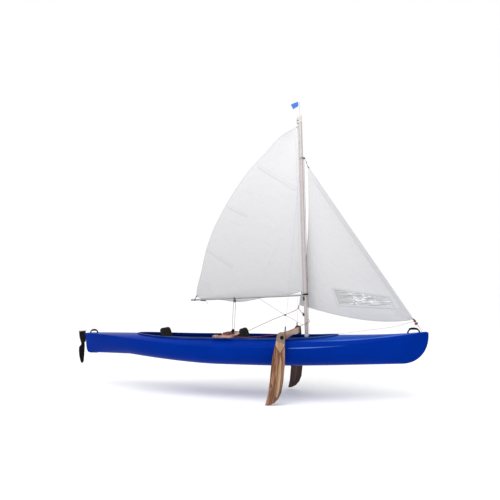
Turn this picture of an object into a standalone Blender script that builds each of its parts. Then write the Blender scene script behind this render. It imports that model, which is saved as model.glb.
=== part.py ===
"""Two-seat sailing canoe with a stayed sloop rig, twin leeboards and a kick-up rudder.

Metres, +Z up, bow towards +X, port towards +Y.
The origin is amidships on the flat keel plank of the hull.
"""
import math

import bmesh
import bpy
from mathutils import Matrix, Vector
from mathutils.bvhtree import BVHTree

for old_object in list(bpy.data.objects):
    bpy.data.objects.remove(old_object)

# Clearances between pieces
GAP = 0.0003
RUN = 0.0004
JOINT_GAP = 0.0010

# Hull moulding
HULL_LENGTH = 5.0
HALF_BEAM = 0.425
TRANSOM_HALF_WIDTH = 0.045
HULL_WALL = 0.005
BOW_SOLID = 0.060
STERN_SOLID = 0.012
SHEER_LOW = 0.262
SHEER_BOW_RISE = 0.176
SHEER_STERN_RISE = 0.127
KEEL_PLANK_SHARE = 0.14
ROCKER_BOW = 0.022
ROCKER_STERN = 0.0547
FLAT_FORE_END = 0.50
FLAT_AFT_END = -0.26
SKEG_START = -1.68
TRANSOM_CHAMFER = 0.020
STEM_LENGTH = 0.35
STEM_TOP = 0.430
STEM_POWER = 2.15
STATIONS = 26
SECTION_POINTS = 8
INNER_POINTS = 6

# Deck moulding
CROWN_MID = 0.396
CROWN_STERN = 0.392
CROWN_BOW_RISE = 0.058
DECK_ROUNDNESS = 0.8
COCKPIT_MIDDLE = -0.104
COCKPIT_HALF_LENGTH = 1.470
COCKPIT_HALF_WIDTH = 0.272
COAMING_WALL = 0.006
COAMING_DEPTH = 0.020
LIP_REACH = 0.022
LIP_THICKNESS = 0.006
LIP_HEIGHT_MID = 0.0265
LIP_HEIGHT_END = 0.012

# Handles on the deck's ends, measured in from the bow and the stern
BOW_HANDLE_SETBACKS = (0.244, 0.108)
STERN_HANDLE_SETBACKS = (0.060, 0.185)
BOW_HANDLE_RISE = 0.046
STERN_HANDLE_RISE = 0.042

# Mast and standing rigging
MAST_X = 0.962
MAST_RADIUS = 0.024
MAST_WALL = 0.0022
MAST_TOP = 3.300
MAST_HEAD_TOP = 3.412
TRACK_DEPTH = 0.010
TRACK_WIDTH = 0.008
TRACK_LEAD = 0.0205
STAFF_RADIUS = 0.0019
STAFF_TOP = 3.600
LUFF_ROPE_RADIUS = 0.004
STEP_RADIUS = 0.055
STEP_HEIGHT = 0.070
COLLAR_HEIGHT = 0.030
COLLAR_BOTTOM = 0.376
HOUNDS_HEIGHT = 2.806
VANG_CLEAT_HEIGHT = 0.667
HOUNDS_HALF_SPAN = 0.046
SHROUD_DIAMETER = 0.003
SHROUD_HALF_SPACING = 0.361
TURNBUCKLE_LENGTH = 0.075
STAY_EYE_SETBACK = 0.081
STAY_SLOPE = 1.621

# Boom and mainsail
BOOM_HEIGHT = 0.9240
BOOM_DROP = 0.0288
BOOM_RADIUS = 0.0125
BOOM_WALL = 0.0018
BOOM_END_X = -0.700
GOOSENECK_PIN_RADIUS = 0.003
GOOSENECK_HALF_HEIGHT = 0.018
GOOSENECK_EAR = 0.005
GOOSENECK_WALL = 0.005
BOOM_SETBACK = 0.030
VANG_DIAMETER = 0.004
VANG_BOOM_X = 0.300
SAIL_THICKNESS = 0.003
MAIN_BELLY = 0.105
FOOT_DROOP = 0.087
JIB_BELLY = 0.10

# Leeboards and their beam
BEAM_X = 0.754
BEAM_THICKNESS = 0.030
BEAM_DEPTH = 0.081
BEAM_HALF_LENGTH = 0.490
BOARD_THICKNESS = 0.022
CHEEK_THICKNESS = 0.003
PIVOT_DROP = 0.048
STUD_RADIUS = 0.006
KNOB_RADIUS = 0.025
KNOB_LENGTH = 0.024
PORT_BOARD_SWING = math.radians(-4.2)
PORT_BOARD_DEPTH = 0.960

# Thwart, cleats and blocks
THWART_AFT_X = -0.280
THWART_FORE_X = 0.020
THWART_HALF_SPAN = 0.330
THWART_THICKNESS = 0.022
SHEET_DIAMETER = 0.005
JIB_SHEET_DIAMETER = 0.006
HALYARD_DIAMETER = 0.005
FURLING_DIAMETER = 0.003
STROP_DIAMETER = 0.006
CAM_RADIUS = 0.0105
CAM_THROW = 0.0025
CAM_PIN_SPACING = 0.0165
CAM_HEIGHT = 0.012
CLEAT_BASE_THICKNESS = 0.005
MAINSHEET_X = -0.084
MAINSHEET_LEAD = 0.032

# Seats
SEAT_LENGTH = 0.40
SEAT_HALF_WIDTH = 0.175
SEAT_PAN_TOP = 0.115
SEAT_PAN_THICKNESS = 0.022
SEAT_HINGE_HEIGHT = 0.150
SEAT_HINGE_PIN = 0.005
SEAT_BARREL = 0.014
BACK_LEAN = math.radians(15.0)
BACK_HEIGHT = 0.350
BACK_HALF_BASE = 0.195
BACK_HALF_TOP = 0.130
BACK_FORE_FACE = 0.025
BACK_AFT_FACE = 0.038
AFT_SEAT_HINGE_X = -1.062
FORE_SEAT_HINGE_X = 0.155

# Rudder and pedals
RUDDER_PIN_SETBACK = 0.026
RUDDER_PIN_RADIUS = 0.004
RUDDER_TOP = 0.417
RUDDER_STOCK_RADIUS = 0.011
RUDDER_STOCK_BOTTOM = 0.262
CHEEK_PLATE = 0.005
BLADE_ROOT_THICKNESS = 0.010
BLADE_PIVOT_SETBACK = 0.072
BLADE_PIVOT_Z = 0.285
BLADE_BOLT_RADIUS = 0.005
PEDAL_X = -0.24
PEDAL_TRACK_AFT = -0.44
PEDAL_TRACK_FORE = -0.06
PEDAL_RAIL_Y = 0.030


def material(name, colour, roughness, metallic=0.0):
    """Return a Principled material with one colour."""
    made = bpy.data.materials.get(name)
    if made:
        return made
    made = bpy.data.materials.new(name)
    made.use_nodes = True
    shader = made.node_tree.nodes["Principled BSDF"]
    shader.inputs["Base Color"].default_value = (*colour, 1.0)
    shader.inputs["Roughness"].default_value = roughness
    shader.inputs["Metallic"].default_value = metallic
    return made


def blue_hull():
    return material("blue_hull", (0.0, 0.034, 0.319), 0.22)


def black_plastic():
    return material("black_plastic", (0.012, 0.012, 0.013), 0.45)


def bright_metal():
    return material("bright_metal", (0.62, 0.62, 0.63), 0.3, 1.0)


def mast_alloy():
    return material("mast_alloy", (0.45, 0.45, 0.46), 0.4, 1.0)


def board_wood():
    return material("board_wood", (0.43, 0.24, 0.11), 0.5)


def thwart_wood():
    return material("thwart_wood", (0.50, 0.33, 0.18), 0.5)


def padded_cloth():
    return material("padded_cloth", (0.014, 0.014, 0.014), 0.9)


def sail_cloth():
    return material("sail_cloth", (0.76, 0.77, 0.79), 0.7)


def red_line():
    return material("red_line", (0.42, 0.05, 0.06), 0.8)


def pale_line():
    return material("pale_line", (0.62, 0.64, 0.68), 0.8)


def pennant_blue():
    return material("pennant_blue", (0.08, 0.30, 0.87), 0.7)


def finish(name, mesh_data, paint, sharp_degrees=35.0):
    """Turn a bmesh into a named, smooth-shaded object with outward faces."""
    bmesh.ops.recalc_face_normals(mesh_data, faces=mesh_data.faces)
    mesh = bpy.data.meshes.new(name)
    mesh_data.to_mesh(mesh)
    mesh_data.free()
    mesh.shade_smooth()
    mesh.set_sharp_from_angle(angle=math.radians(sharp_degrees))
    mesh.materials.append(paint)
    made = bpy.data.objects.new(name, mesh)
    bpy.context.scene.collection.objects.link(made)
    return made


def ring_mesh(rings, cyclic=False):
    """Join equal rings of points into a skin, capped unless it runs round."""
    data = bmesh.new()
    rows = [[data.verts.new(point) for point in ring] for ring in rings]
    count = len(rows[0])
    pairs = list(zip(rows, rows[1:]))
    if cyclic:
        pairs.append((rows[-1], rows[0]))
    for near, far in pairs:
        for index in range(count):
            after = (index + 1) % count
            data.faces.new((near[index], near[after], far[after], far[index]))
    if not cyclic:
        data.faces.new(rows[0][::-1])
        data.faces.new(rows[-1])
    return data


def frame_axes(direction):
    """Two unit vectors square to a direction."""
    along = Vector(direction).normalized()
    guide = Vector((0, 0, 1)) if abs(along.z) < 0.9 else Vector((1, 0, 0))
    side = along.cross(guide).normalized()
    return side, along.cross(side).normalized()


def circle(centre, direction, radius, segments, turn=0.0):
    """Points of a circle square to a direction."""
    side, up = frame_axes(direction)
    angles = [turn + 2 * math.pi * step / segments for step in range(segments)]
    return [Vector(centre) + radius * (math.cos(a) * side + math.sin(a) * up) for a in angles]


def rod_mesh(start, end, radius, segments=12):
    """A round bar between two points."""
    direction = Vector(end) - Vector(start)
    return ring_mesh([circle(point, direction, radius, segments) for point in (start, end)])


def turned_mesh(profile, base, direction, segments=20, cyclic=False):
    """Revolve (radius, height) points about a direction from a base point."""
    along = Vector(direction).normalized()
    rings = [circle(Vector(base) + along * height, along, radius, segments)
             for radius, height in profile]
    return ring_mesh(rings, cyclic)


def slab_mesh(outline, origin, across, up, thickness):
    """Extrude a flat outline, given in two directions, along their cross product."""
    across, up = Vector(across), Vector(up)
    through = across.cross(up).normalized() * thickness
    near = [Vector(origin) + across * a + up * b for a, b in outline]
    return ring_mesh([near, [point + through for point in near]])


def block_mesh(low, high, bevel=0.0):
    """A box between two corners, with an even bevel."""
    data = bmesh.new()
    bmesh.ops.create_cube(data, size=1.0)
    size = Vector(high) - Vector(low)
    middle = (Vector(high) + Vector(low)) / 2
    for vert in data.verts:
        vert.co = Vector((vert.co.x * size.x, vert.co.y * size.y, vert.co.z * size.z)) + middle
    if bevel:
        bmesh.ops.bevel(data, geom=data.edges[:], offset=bevel, segments=1, affect="EDGES",
                        clamp_overlap=True)
    return data


def tool(mesh_data):
    """A hidden body for a union or a cut."""
    body = finish("tool", mesh_data, black_plastic())
    body.hide_render = True
    body.display_type = "WIRE"
    return body


def combine(base, operation, mesh_data):
    """Add or cut another body with an exact Boolean."""
    change = base.modifiers.new(operation.lower(), "BOOLEAN")
    change.operation = operation
    change.solver = "EXACT"
    change.object = tool(mesh_data)


def soften(mesh_data, width, segments=1, angle=0.6):
    """Bevel the edges that turn by more than an angle."""
    edges = [edge for edge in mesh_data.edges if edge.is_manifold
             and edge.calc_face_angle(0.0) > angle]
    bmesh.ops.bevel(mesh_data, geom=edges, offset=width, segments=segments, affect="EDGES",
                    clamp_overlap=True)
    return mesh_data


def curve_through(points):
    """Dense points on a smooth curve through a route, steady over uneven spacing."""
    route = [Vector(point) for point in points]
    padded = [2 * route[0] - route[1]] + route + [2 * route[-1] - route[-2]]
    dense = []
    for index in range(1, len(padded) - 2):
        before, start, end, after = padded[index - 1:index + 3]
        first = math.sqrt((start - before).length)
        middle = math.sqrt((end - start).length)
        last = math.sqrt((after - end).length)
        leave = (start - before) / first - (end - before) / (first + middle)
        leave = (leave + (end - start) / middle) * middle
        arrive = (after - end) / last - (after - start) / (last + middle)
        arrive = (arrive + (end - start) / middle) * middle
        for step in range(16):
            t = step / 16
            dense.append((2 * t ** 3 - 3 * t ** 2 + 1) * start + (t ** 3 - 2 * t ** 2 + t) * leave
                         + (3 * t ** 2 - 2 * t ** 3) * end + (t ** 3 - t ** 2) * arrive)
    dense.append(route[-1].copy())
    return dense


def spaced(points, count):
    """Even steps along a smooth curve."""
    dense = curve_through(points)
    lengths = [0.0]
    for near, far in zip(dense, dense[1:]):
        lengths.append(lengths[-1] + (far - near).length)
    result = []
    cursor = 0
    for step in range(count):
        target = lengths[-1] * step / (count - 1)
        while cursor < len(lengths) - 2 and lengths[cursor + 1] < target:
            cursor += 1
        span = lengths[cursor + 1] - lengths[cursor]
        share = (target - lengths[cursor]) / span if span else 0.0
        result.append(dense[cursor].lerp(dense[cursor + 1], min(share, 1.0)))
    return result


def eased(points, longest, tolerance):
    """Points along a smooth curve, closer together where it bends."""
    dense = curve_through(points)
    result = [dense[0]]
    first = 0
    for index in range(2, len(dense)):
        chord = dense[index] - dense[first]
        if chord.length < 1e-7:
            continue
        along = chord.normalized()
        off = max((place - dense[first]).cross(along).length for place in dense[first + 1:index])
        if off > tolerance or chord.length > longest:
            result.append(dense[index - 1])
            first = index - 1
    if (result[-1] - dense[-1]).length < 0.001:
        result.pop()
    return result + [dense[-1]]


def cord(name, points, diameter, paint):
    """A cord as a bevelled curve through given points."""
    data = bpy.data.curves.new(name, "CURVE")
    data.dimensions = "3D"
    data.bevel_depth = diameter / 2
    data.bevel_resolution = 2 if diameter > SHEET_DIAMETER else 1
    data.use_fill_caps = True
    spline = data.splines.new("POLY")
    spline.points.add(len(points) - 1)
    for target, point in zip(spline.points, points):
        target.co = (*point[:3], 1.0)
        target.radius = point[3] if len(point) > 3 else 1.0
    data.materials.append(paint)
    made = bpy.data.objects.new(name, data)
    bpy.context.scene.collection.objects.link(made)
    return made


def moved(mesh_data, matrix):
    """Move a whole bmesh."""
    bmesh.ops.transform(mesh_data, matrix=matrix, verts=mesh_data.verts)
    return mesh_data


def pivot(name, place):
    """An empty on a joint's axis."""
    made = bpy.data.objects.new(name, None)
    made.location = place
    bpy.context.scene.collection.objects.link(made)
    return made


def carry(anchor, *pieces):
    """Parent pieces to an empty without moving them."""
    for piece in pieces:
        piece.parent = anchor
        piece.matrix_parent_inverse = Matrix.Translation(-Vector(anchor.location))


def height_on(tree, places):
    """Highest point of a surface over some (x, y) places."""
    heights = []
    for x, y in places:
        hit = tree.ray_cast(Vector((x, y, 2.0)), Vector((0, 0, -1)))[0]
        if hit:
            heights.append(hit.z)
    return max(heights)


def disc_places(x, y, radius):
    """Sample places under a round foot."""
    ring = [(x + radius * math.cos(a * math.pi / 6), y + radius * math.sin(a * math.pi / 6))
            for a in range(12)]
    return ring + [(x, y)]


# Hull lines

def half_breadth(x):
    share = min(abs(x) / (HULL_LENGTH / 2), 1.0)
    if x > 0:
        return max(HALF_BEAM * (1 - share ** 2), 0.004)
    return TRANSOM_HALF_WIDTH + (HALF_BEAM - TRANSOM_HALF_WIDTH) * (1 - share ** 2)


def keel_height(x):
    stem_start = HULL_LENGTH / 2 - STEM_LENGTH
    start_height = ROCKER_BOW * (stem_start - FLAT_FORE_END) ** 1.5
    if x > stem_start:
        share = min((x - stem_start) / STEM_LENGTH, 1.0)
        rise = 1 - (1 - share ** STEM_POWER) ** (1 / STEM_POWER)
        return start_height + (STEM_TOP - start_height) * rise
    if x > FLAT_FORE_END:
        return ROCKER_BOW * (x - FLAT_FORE_END) ** 1.5
    if x > FLAT_AFT_END:
        return 0.0
    skeg = ROCKER_STERN * (FLAT_AFT_END - SKEG_START) ** 1.5
    if x > SKEG_START:
        return ROCKER_STERN * (FLAT_AFT_END - x) ** 1.5
    corner = max(0.0, -x - (HULL_LENGTH / 2 - TRANSOM_CHAMFER))
    return skeg + 1.45 * corner


def sheer_height(x):
    share = abs(x) / (HULL_LENGTH / 2)
    if x > 0:
        return SHEER_LOW + SHEER_BOW_RISE * share ** 2.9
    return SHEER_LOW + SHEER_STERN_RISE * math.sin(math.pi / 2 * share) ** 2.6


def crown_height(x):
    share = abs(x) / (HULL_LENGTH / 2)
    if x > 0:
        return CROWN_MID + CROWN_BOW_RISE * share ** 5.6
    return CROWN_MID + (CROWN_STERN - CROWN_MID) * share


def section_power(x):
    return 1.7 + 1.3 * (1 - (2 * x / HULL_LENGTH) ** 2)


def hull_section(x, inset, count):
    """Port sheer to keel to starboard sheer at one station."""
    breadth = max(half_breadth(x) - inset, 0.0025)
    plank = KEEL_PLANK_SHARE * breadth
    top = sheer_height(x) - GAP / 2
    bottom = keel_height(x) + inset
    power = 2 / section_power(x)
    side = []
    for index in range(count):
        angle = math.pi / 2 * index / (count - 1)
        y = plank + (breadth - plank) * max(math.cos(angle), 0.0) ** power
        z = top - (top - bottom) * math.sin(angle) ** power
        side.append((y, z))
    port = [Vector((x, y, z)) for y, z in side]
    starboard = [Vector((x, -y, z)) for y, z in reversed(side)]
    return port + starboard


def station(index):
    return -HULL_LENGTH / 2 * math.cos(math.pi * index / STATIONS)


def inner_station(index):
    """Stations of the inside skin, which stops short of the solid ends."""
    share = (station(index) / HULL_LENGTH) + 0.5
    start = -HULL_LENGTH / 2 + STERN_SOLID
    end = HULL_LENGTH / 2 - BOW_SOLID
    return start + (end - start) * share


def tub_mesh(outer, inner):
    """An open shell from matching outer and inner sections."""
    data = bmesh.new()
    outside = [[data.verts.new(point) for point in section] for section in outer]
    inside = [[data.verts.new(point) for point in section] for section in inner]
    for rows in (outside, inside):
        for near, far in zip(rows, rows[1:]):
            for index in range(len(rows[0]) - 1):
                data.faces.new((near[index], near[index + 1], far[index + 1], far[index]))
    for edge in (0, -1):
        for index in range(len(outside) - 1):
            data.faces.new((outside[index][edge], outside[index + 1][edge],
                            inside[index + 1][edge], inside[index][edge]))
        data.faces.new(outside[edge])
        data.faces.new(inside[edge])
        data.faces.new((outside[edge][0], outside[edge][-1], inside[edge][-1], inside[edge][0]))
    return data


def make_hull():
    outer = [hull_section(station(index), 0.0, SECTION_POINTS) for index in range(STATIONS + 1)]
    inner = [hull_section(inner_station(index), HULL_WALL, INNER_POINTS)
             for index in range(STATIONS + 1)]
    data = tub_mesh(outer, inner)
    bmesh.ops.recalc_face_normals(data, faces=data.faces)
    tree = BVHTree.FromBMesh(data)
    finish("hull_shell", data, blue_hull())
    return tree


def around(values):
    """Run a list of (x, half width) pairs round the boat, bow first."""
    port = [(x, width) for x, width in reversed(values)]
    starboard = [(x, -width) for x, width in values]
    return port + starboard


def cockpit_edge():
    values = []
    for index in range(STATIONS + 1):
        share = -math.cos(math.pi * index / STATIONS)
        width = COCKPIT_HALF_WIDTH * math.sqrt(1 - abs(0.998 * share) ** 2.8)
        values.append((COCKPIT_MIDDLE + COCKPIT_HALF_LENGTH * share, width))
    return around(values)


def deck_height(x, y, inset=0.0):
    breadth = half_breadth(x) - inset
    share = min(abs(y) / breadth, 1.0)
    low = sheer_height(x)
    high = max(crown_height(x) - inset, low - inset)
    return low + (high - low) * (1 - share ** 2) ** DECK_ROUNDNESS


def make_deck():
    edge = cockpit_edge()
    outer_sheer = around([(station(i), half_breadth(station(i))) for i in range(STATIONS + 1)])
    inner_sheer = around([(inner_station(i), half_breadth(inner_station(i)) - HULL_WALL)
                          for i in range(STATIONS + 1)])
    shares = [0.0, 0.33, 0.66, 0.89, 1.0]
    loops = []
    for share in shares:
        loop = []
        for (ex, ey), (sx, sy) in zip(edge, outer_sheer):
            x, y = ex + (sx - ex) * share, ey + (sy - ey) * share
            loop.append(Vector((x, y, deck_height(x, y) + GAP / 2)))
        loops.append(loop)
    for share in (1.0, 0.85, 0.5, 0.0):
        loop = []
        for (ex, ey), (sx, sy) in zip(edge, inner_sheer):
            x, y = ex + (sx - ex) * share, ey + (sy - ey) * share
            loop.append(Vector((x, y, deck_height(x, y, HULL_WALL) + GAP / 2)))
        loops.append(loop)
    data = ring_mesh(loops, cyclic=True)
    bmesh.ops.recalc_face_normals(data, faces=data.faces)
    tree = BVHTree.FromBMesh(data)
    finish("deck_shell", data, blue_hull())
    return tree


def lip_height(x):
    share = (x - COCKPIT_MIDDLE) / COCKPIT_HALF_LENGTH
    return LIP_HEIGHT_MID + (LIP_HEIGHT_END - LIP_HEIGHT_MID) * share ** 2


def make_coaming():
    edge = cockpit_edge()
    count = len(edge)
    loops = [[] for _ in range(6)]
    for index, (x, y) in enumerate(edge):
        before, after = edge[index - 1], edge[(index + 1) % count]
        outward = Vector((before[1] - after[1], after[0] - before[0], 0)).normalized()
        if outward.dot(Vector((x - COCKPIT_MIDDLE, y * 4, 0))) < 0:
            outward = -outward
        base = Vector((x, y, deck_height(x, y)))
        lip = lip_height(x)
        section = [
            (-GAP - COAMING_WALL, -COAMING_DEPTH),
            (-GAP, -COAMING_DEPTH),
            (-GAP, lip - LIP_THICKNESS),
            (LIP_REACH, lip - LIP_THICKNESS - 0.002),
            (LIP_REACH - 0.001, lip - 0.0025),
            (-GAP - COAMING_WALL, lip),
        ]
        for loop, (out, up) in zip(loops, section):
            loop.append(base + outward * out + Vector((0, 0, up)))
    data = ring_mesh(loops, cyclic=True)
    bmesh.ops.recalc_face_normals(data, faces=data.faces)
    tree = BVHTree.FromBMesh(data)
    finish("cockpit_coaming", data, blue_hull(), 50.0)
    return tree


HULL_TREE = make_hull()
DECK_TREE = make_deck()
COAMING_TREE = make_coaming()


# Fittings on the hull ends

def make_stern_skid():
    stern = -HULL_LENGTH / 2
    top = keel_height(stern + 0.10) - GAP
    data = block_mesh((stern + 0.045, -0.011, top - 0.007), (stern + 0.185, 0.011, top), 0.002)
    finish("stern_skid", data, black_plastic())


def make_handle(name, aft_x, fore_x, rise):
    """A moulded arch on two round feet."""
    foot = 0.013
    grip = 0.0075
    aft_z = height_on(DECK_TREE, disc_places(aft_x, 0, foot)) + GAP
    fore_z = height_on(DECK_TREE, disc_places(fore_x, 0, foot)) + GAP
    top = max(aft_z, fore_z) + rise
    span = fore_x - aft_x
    path = [(aft_x, aft_z), (aft_x, aft_z + 0.012), (aft_x + 0.07 * span, aft_z + 0.62 * rise),
            (aft_x + 0.24 * span, top - 0.07 * rise), (aft_x + 0.50 * span, top),
            (aft_x + 0.76 * span, top - 0.07 * rise), (fore_x - 0.07 * span, fore_z + 0.62 * rise),
            (fore_x, fore_z + 0.012), (fore_x, fore_z)]
    rings = []
    for index, (x, z) in enumerate(path):
        before = path[max(index - 1, 0)]
        after = path[min(index + 1, len(path) - 1)]
        along = Vector((after[0] - before[0], 0, after[1] - before[1])).normalized()
        across = Vector((-along.z, 0, along.x))
        end = index in (0, len(path) - 1)
        wide = foot if end else grip * 1.5
        deep = foot if end else grip * 1.2
        ring = []
        for step in range(10):
            angle = 2 * math.pi * step / 10
            ring.append(Vector((x, 0, z)) + Vector((0, wide * math.cos(angle), 0))
                        + across * deep * math.sin(angle))
        rings.append(ring)
    finish(name, ring_mesh(rings), black_plastic(), 60.0)


STAY_EYE_X = HULL_LENGTH / 2 - STAY_EYE_SETBACK
STAFF_X = MAST_X - 0.006
PENNANT_LOW = 0.103


def stay_point(height):
    """A point on the straight line from the bow eye to the hounds."""
    return Vector((STAY_EYE_X - (height - STAY_EYE_Z) / STAY_SLOPE, 0, height))


def make_bow_eye():
    base = height_on(DECK_TREE, disc_places(STAY_EYE_X, 0, 0.011)) + GAP
    plate = turned_mesh([(0.011, 0.0), (0.011, 0.003), (0.0045, 0.005), (0.0045, 0.016),
                         (0.0025, 0.018)], (STAY_EYE_X, 0, base), (0, 0, 1), 12)
    finish("bow_eye", plate, bright_metal())
    return base + 0.018


make_stern_skid()
STERN_FEET = [setback - HULL_LENGTH / 2 for setback in STERN_HANDLE_SETBACKS]
BOW_FEET = [HULL_LENGTH / 2 - setback for setback in BOW_HANDLE_SETBACKS]
make_handle("stern_handle", *STERN_FEET, STERN_HANDLE_RISE)
make_handle("bow_handle", *BOW_FEET, BOW_HANDLE_RISE)
STAY_EYE_Z = make_bow_eye()
STAY_AXIS = Vector((-1 / STAY_SLOPE, 0, 1)).normalized()


# Mast

def make_mast_step():
    floor = height_on(HULL_TREE, disc_places(MAST_X, 0, STEP_RADIUS)) + GAP
    bore = MAST_RADIUS + GAP
    profile = [(STEP_RADIUS, 0.0), (STEP_RADIUS, 0.007), (0.036, 0.013), (0.033, STEP_HEIGHT),
               (bore, STEP_HEIGHT), (bore, 0.012)]
    finish("mast_step", turned_mesh(profile, (MAST_X, 0, floor), (0, 0, 1)), black_plastic())
    return floor


def make_mast():
    bottom = STEP_FLOOR + 0.012 + GAP
    inner = MAST_RADIUS - MAST_WALL
    profile = [(MAST_RADIUS, bottom), (MAST_RADIUS, MAST_TOP), (inner, MAST_TOP), (inner, bottom)]
    tube = finish("mast_tube", turned_mesh(profile, (MAST_X, 0, 0), (0, 0, 1), 20, True),
                  mast_alloy())
    back = MAST_X - MAST_RADIUS - TRACK_DEPTH
    combine(tube, "UNION", block_mesh((back, -TRACK_WIDTH / 2, TRACK_BOTTOM),
                                      (MAST_X - MAST_RADIUS + 0.0015, TRACK_WIDTH / 2,
                                       MAST_TOP - 0.02)))


def make_mast_collar():
    inner = MAST_RADIUS + GAP
    outer = inner + 0.006
    profile = [(outer, 0.0), (outer, COLLAR_HEIGHT), (inner, COLLAR_HEIGHT), (inner, 0.0)]
    data = turned_mesh(profile, (MAST_X, 0, COLLAR_BOTTOM), (0, 0, 1), 20, True)
    finish("mast_collar", data, bright_metal())


def make_mast_head():
    """Cap with a plug in the tube, a sheave slot aft and the pennant's staff on top."""
    bottom = MAST_TOP + GAP
    height = MAST_HEAD_TOP - bottom
    aft, fore = -0.052, 0.020
    half = 0.011
    sheave = Vector((MAST_X - 0.041, 0, bottom + 0.030))
    outline = [(aft + 0.006, 0.0), (fore, 0.0), (fore, height - 0.012), (fore - 0.010, height),
               (-0.012, height), (-0.030, height - 0.020), (aft, 0.050), (aft, 0.006)]
    data = slab_mesh(outline, (MAST_X, half, bottom), (1, 0, 0), (0, 0, 1), 2 * half)
    head = finish("mast_head", soften(data, 0.003), bright_metal())
    plug = MAST_RADIUS - MAST_WALL - GAP
    combine(head, "UNION", turned_mesh([(plug, -0.030), (plug, 0.0), (MAST_RADIUS, 0.0),
                                        (MAST_RADIUS, 0.010), (0.012, 0.018)],
                                       (MAST_X, 0, bottom), (0, 0, 1), 16))
    combine(head, "DIFFERENCE", block_mesh((MAST_X - 0.060, -0.005, bottom - 0.001),
                                           (MAST_X - 0.030, 0.005, bottom + 0.046)))
    combine(head, "UNION", rod_mesh(sheave - Vector((0, 0.007, 0)), sheave + Vector((0, 0.007, 0)),
                                    0.010, 12))
    combine(head, "UNION", turned_mesh([(STAFF_RADIUS, -0.010), (STAFF_RADIUS, PENNANT_LOW - 0.006),
                                        (0.005, PENNANT_LOW - 0.005), (0.005, PENNANT_LOW - GAP),
                                        (STAFF_RADIUS, PENNANT_LOW - GAP),
                                        (STAFF_RADIUS, STAFF_TOP - MAST_HEAD_TOP)],
                                       (STAFF_X, 0, MAST_HEAD_TOP), (0, 0, 1), 10))


def make_pennant():
    """Flag on a sleeve that turns round the staff, above a fixed collar."""
    low = MAST_HEAD_TOP + PENNANT_LOW
    high = STAFF_TOP - 0.008
    bore = STAFF_RADIUS + RUN
    sleeve = turned_mesh([(bore + 0.002, 0.0), (bore + 0.002, high - low), (bore, high - low),
                          (bore, 0.0)], (STAFF_X, 0, low), (0, 0, 1), 12, True)
    pennant = finish("wind_pennant", sleeve, pennant_blue())
    edge = -(bore + 0.0012)
    outline = [(edge, 0.012), (-0.084, -0.004), (-0.100, 0.026), (-0.135, 0.072), (edge, 0.074)]
    combine(pennant, "UNION", slab_mesh(outline, (STAFF_X, 0.0006, low), (1, 0, 0), (0, 0, 1),
                                        0.0012))
    carry(pivot("pennant_axis", (STAFF_X, 0, low)), pennant)


def make_hounds():
    """Mast band with side ears for the shrouds and a nose for the halyard."""
    bore = MAST_RADIUS + GAP
    band = turned_mesh([(bore + 0.005, -0.020), (bore + 0.005, 0.020)],
                       (MAST_X, 0, HOUNDS_HEIGHT), (0, 0, 1), 20)
    hounds = finish("hounds_bracket", band, black_plastic())
    plate = [(-0.012, -HOUNDS_HALF_SPAN), (0.010, -HOUNDS_HALF_SPAN), (0.046, -0.010),
             (0.046, 0.010), (0.010, HOUNDS_HALF_SPAN), (-0.012, HOUNDS_HALF_SPAN)]
    combine(hounds, "UNION", slab_mesh(plate, (MAST_X, 0, HOUNDS_HEIGHT - 0.002),
                                       (1, 0, 0), (0, 1, 0), 0.004))
    combine(hounds, "DIFFERENCE", rod_mesh((MAST_X, 0, HOUNDS_HEIGHT - 0.05),
                                           (MAST_X, 0, HOUNDS_HEIGHT + 0.05), bore, 20))
    slot = TRACK_WIDTH / 2 + GAP
    combine(hounds, "DIFFERENCE", block_mesh((MAST_X - MAST_RADIUS - TRACK_DEPTH - 0.01, -slot,
                                              HOUNDS_HEIGHT - 0.05),
                                             (MAST_X, slot, HOUNDS_HEIGHT + 0.05)))


def make_gooseneck():
    """Band, two ears and the vertical pin that the boom swings on."""
    bore = MAST_RADIUS + GAP
    middle = BOOM_HEIGHT
    half = GOOSENECK_HALF_HEIGHT
    band = turned_mesh([(bore + GOOSENECK_WALL, -half), (bore + GOOSENECK_WALL, half)],
                       (MAST_X, 0, middle), (0, 0, 1), 20)
    bracket = finish("gooseneck", band, black_plastic())
    for low in (-half, half - GOOSENECK_EAR):
        combine(bracket, "UNION", block_mesh((LUFF_X - 0.011, -0.009, middle + low),
                                             (MAST_X, 0.009, middle + low + GOOSENECK_EAR)))
    reach = half - GOOSENECK_EAR / 2
    combine(bracket, "UNION", rod_mesh((LUFF_X, 0, middle - reach), (LUFF_X, 0, middle + reach),
                                       GOOSENECK_PIN_RADIUS, 12))
    combine(bracket, "UNION", block_mesh((MAST_X + 0.022, -0.014, middle + 0.004),
                                         (MAST_X + 0.030, 0.014, middle + 0.012)))
    combine(bracket, "DIFFERENCE", rod_mesh((MAST_X, 0, middle - 0.05), (MAST_X, 0, middle + 0.05),
                                            bore, 20))


def make_mast_cleat(name, height, angle):
    """Horn cleat standing on the mast's side at an angle from dead aft."""
    horn = CLEAT_HALF_LENGTH
    out = Vector((-math.cos(angle), -math.sin(angle), 0))
    across = Vector((out.y, -out.x, 0))
    seat = Vector((MAST_X, 0, height)) + out * (MAST_RADIUS + GAP)
    outline = [(0.0, -0.014), (0.009, -0.012), (0.012, 0.002 - horn), (0.019, -horn),
               (0.020, -0.008), (0.020, 0.008), (0.019, horn), (0.012, horn - 0.002),
               (0.009, 0.012), (0.0, 0.014)]
    data = slab_mesh(outline, seat - across * 0.004, out, (0, 0, 1), 0.008)
    finish(name, data, black_plastic())


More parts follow.
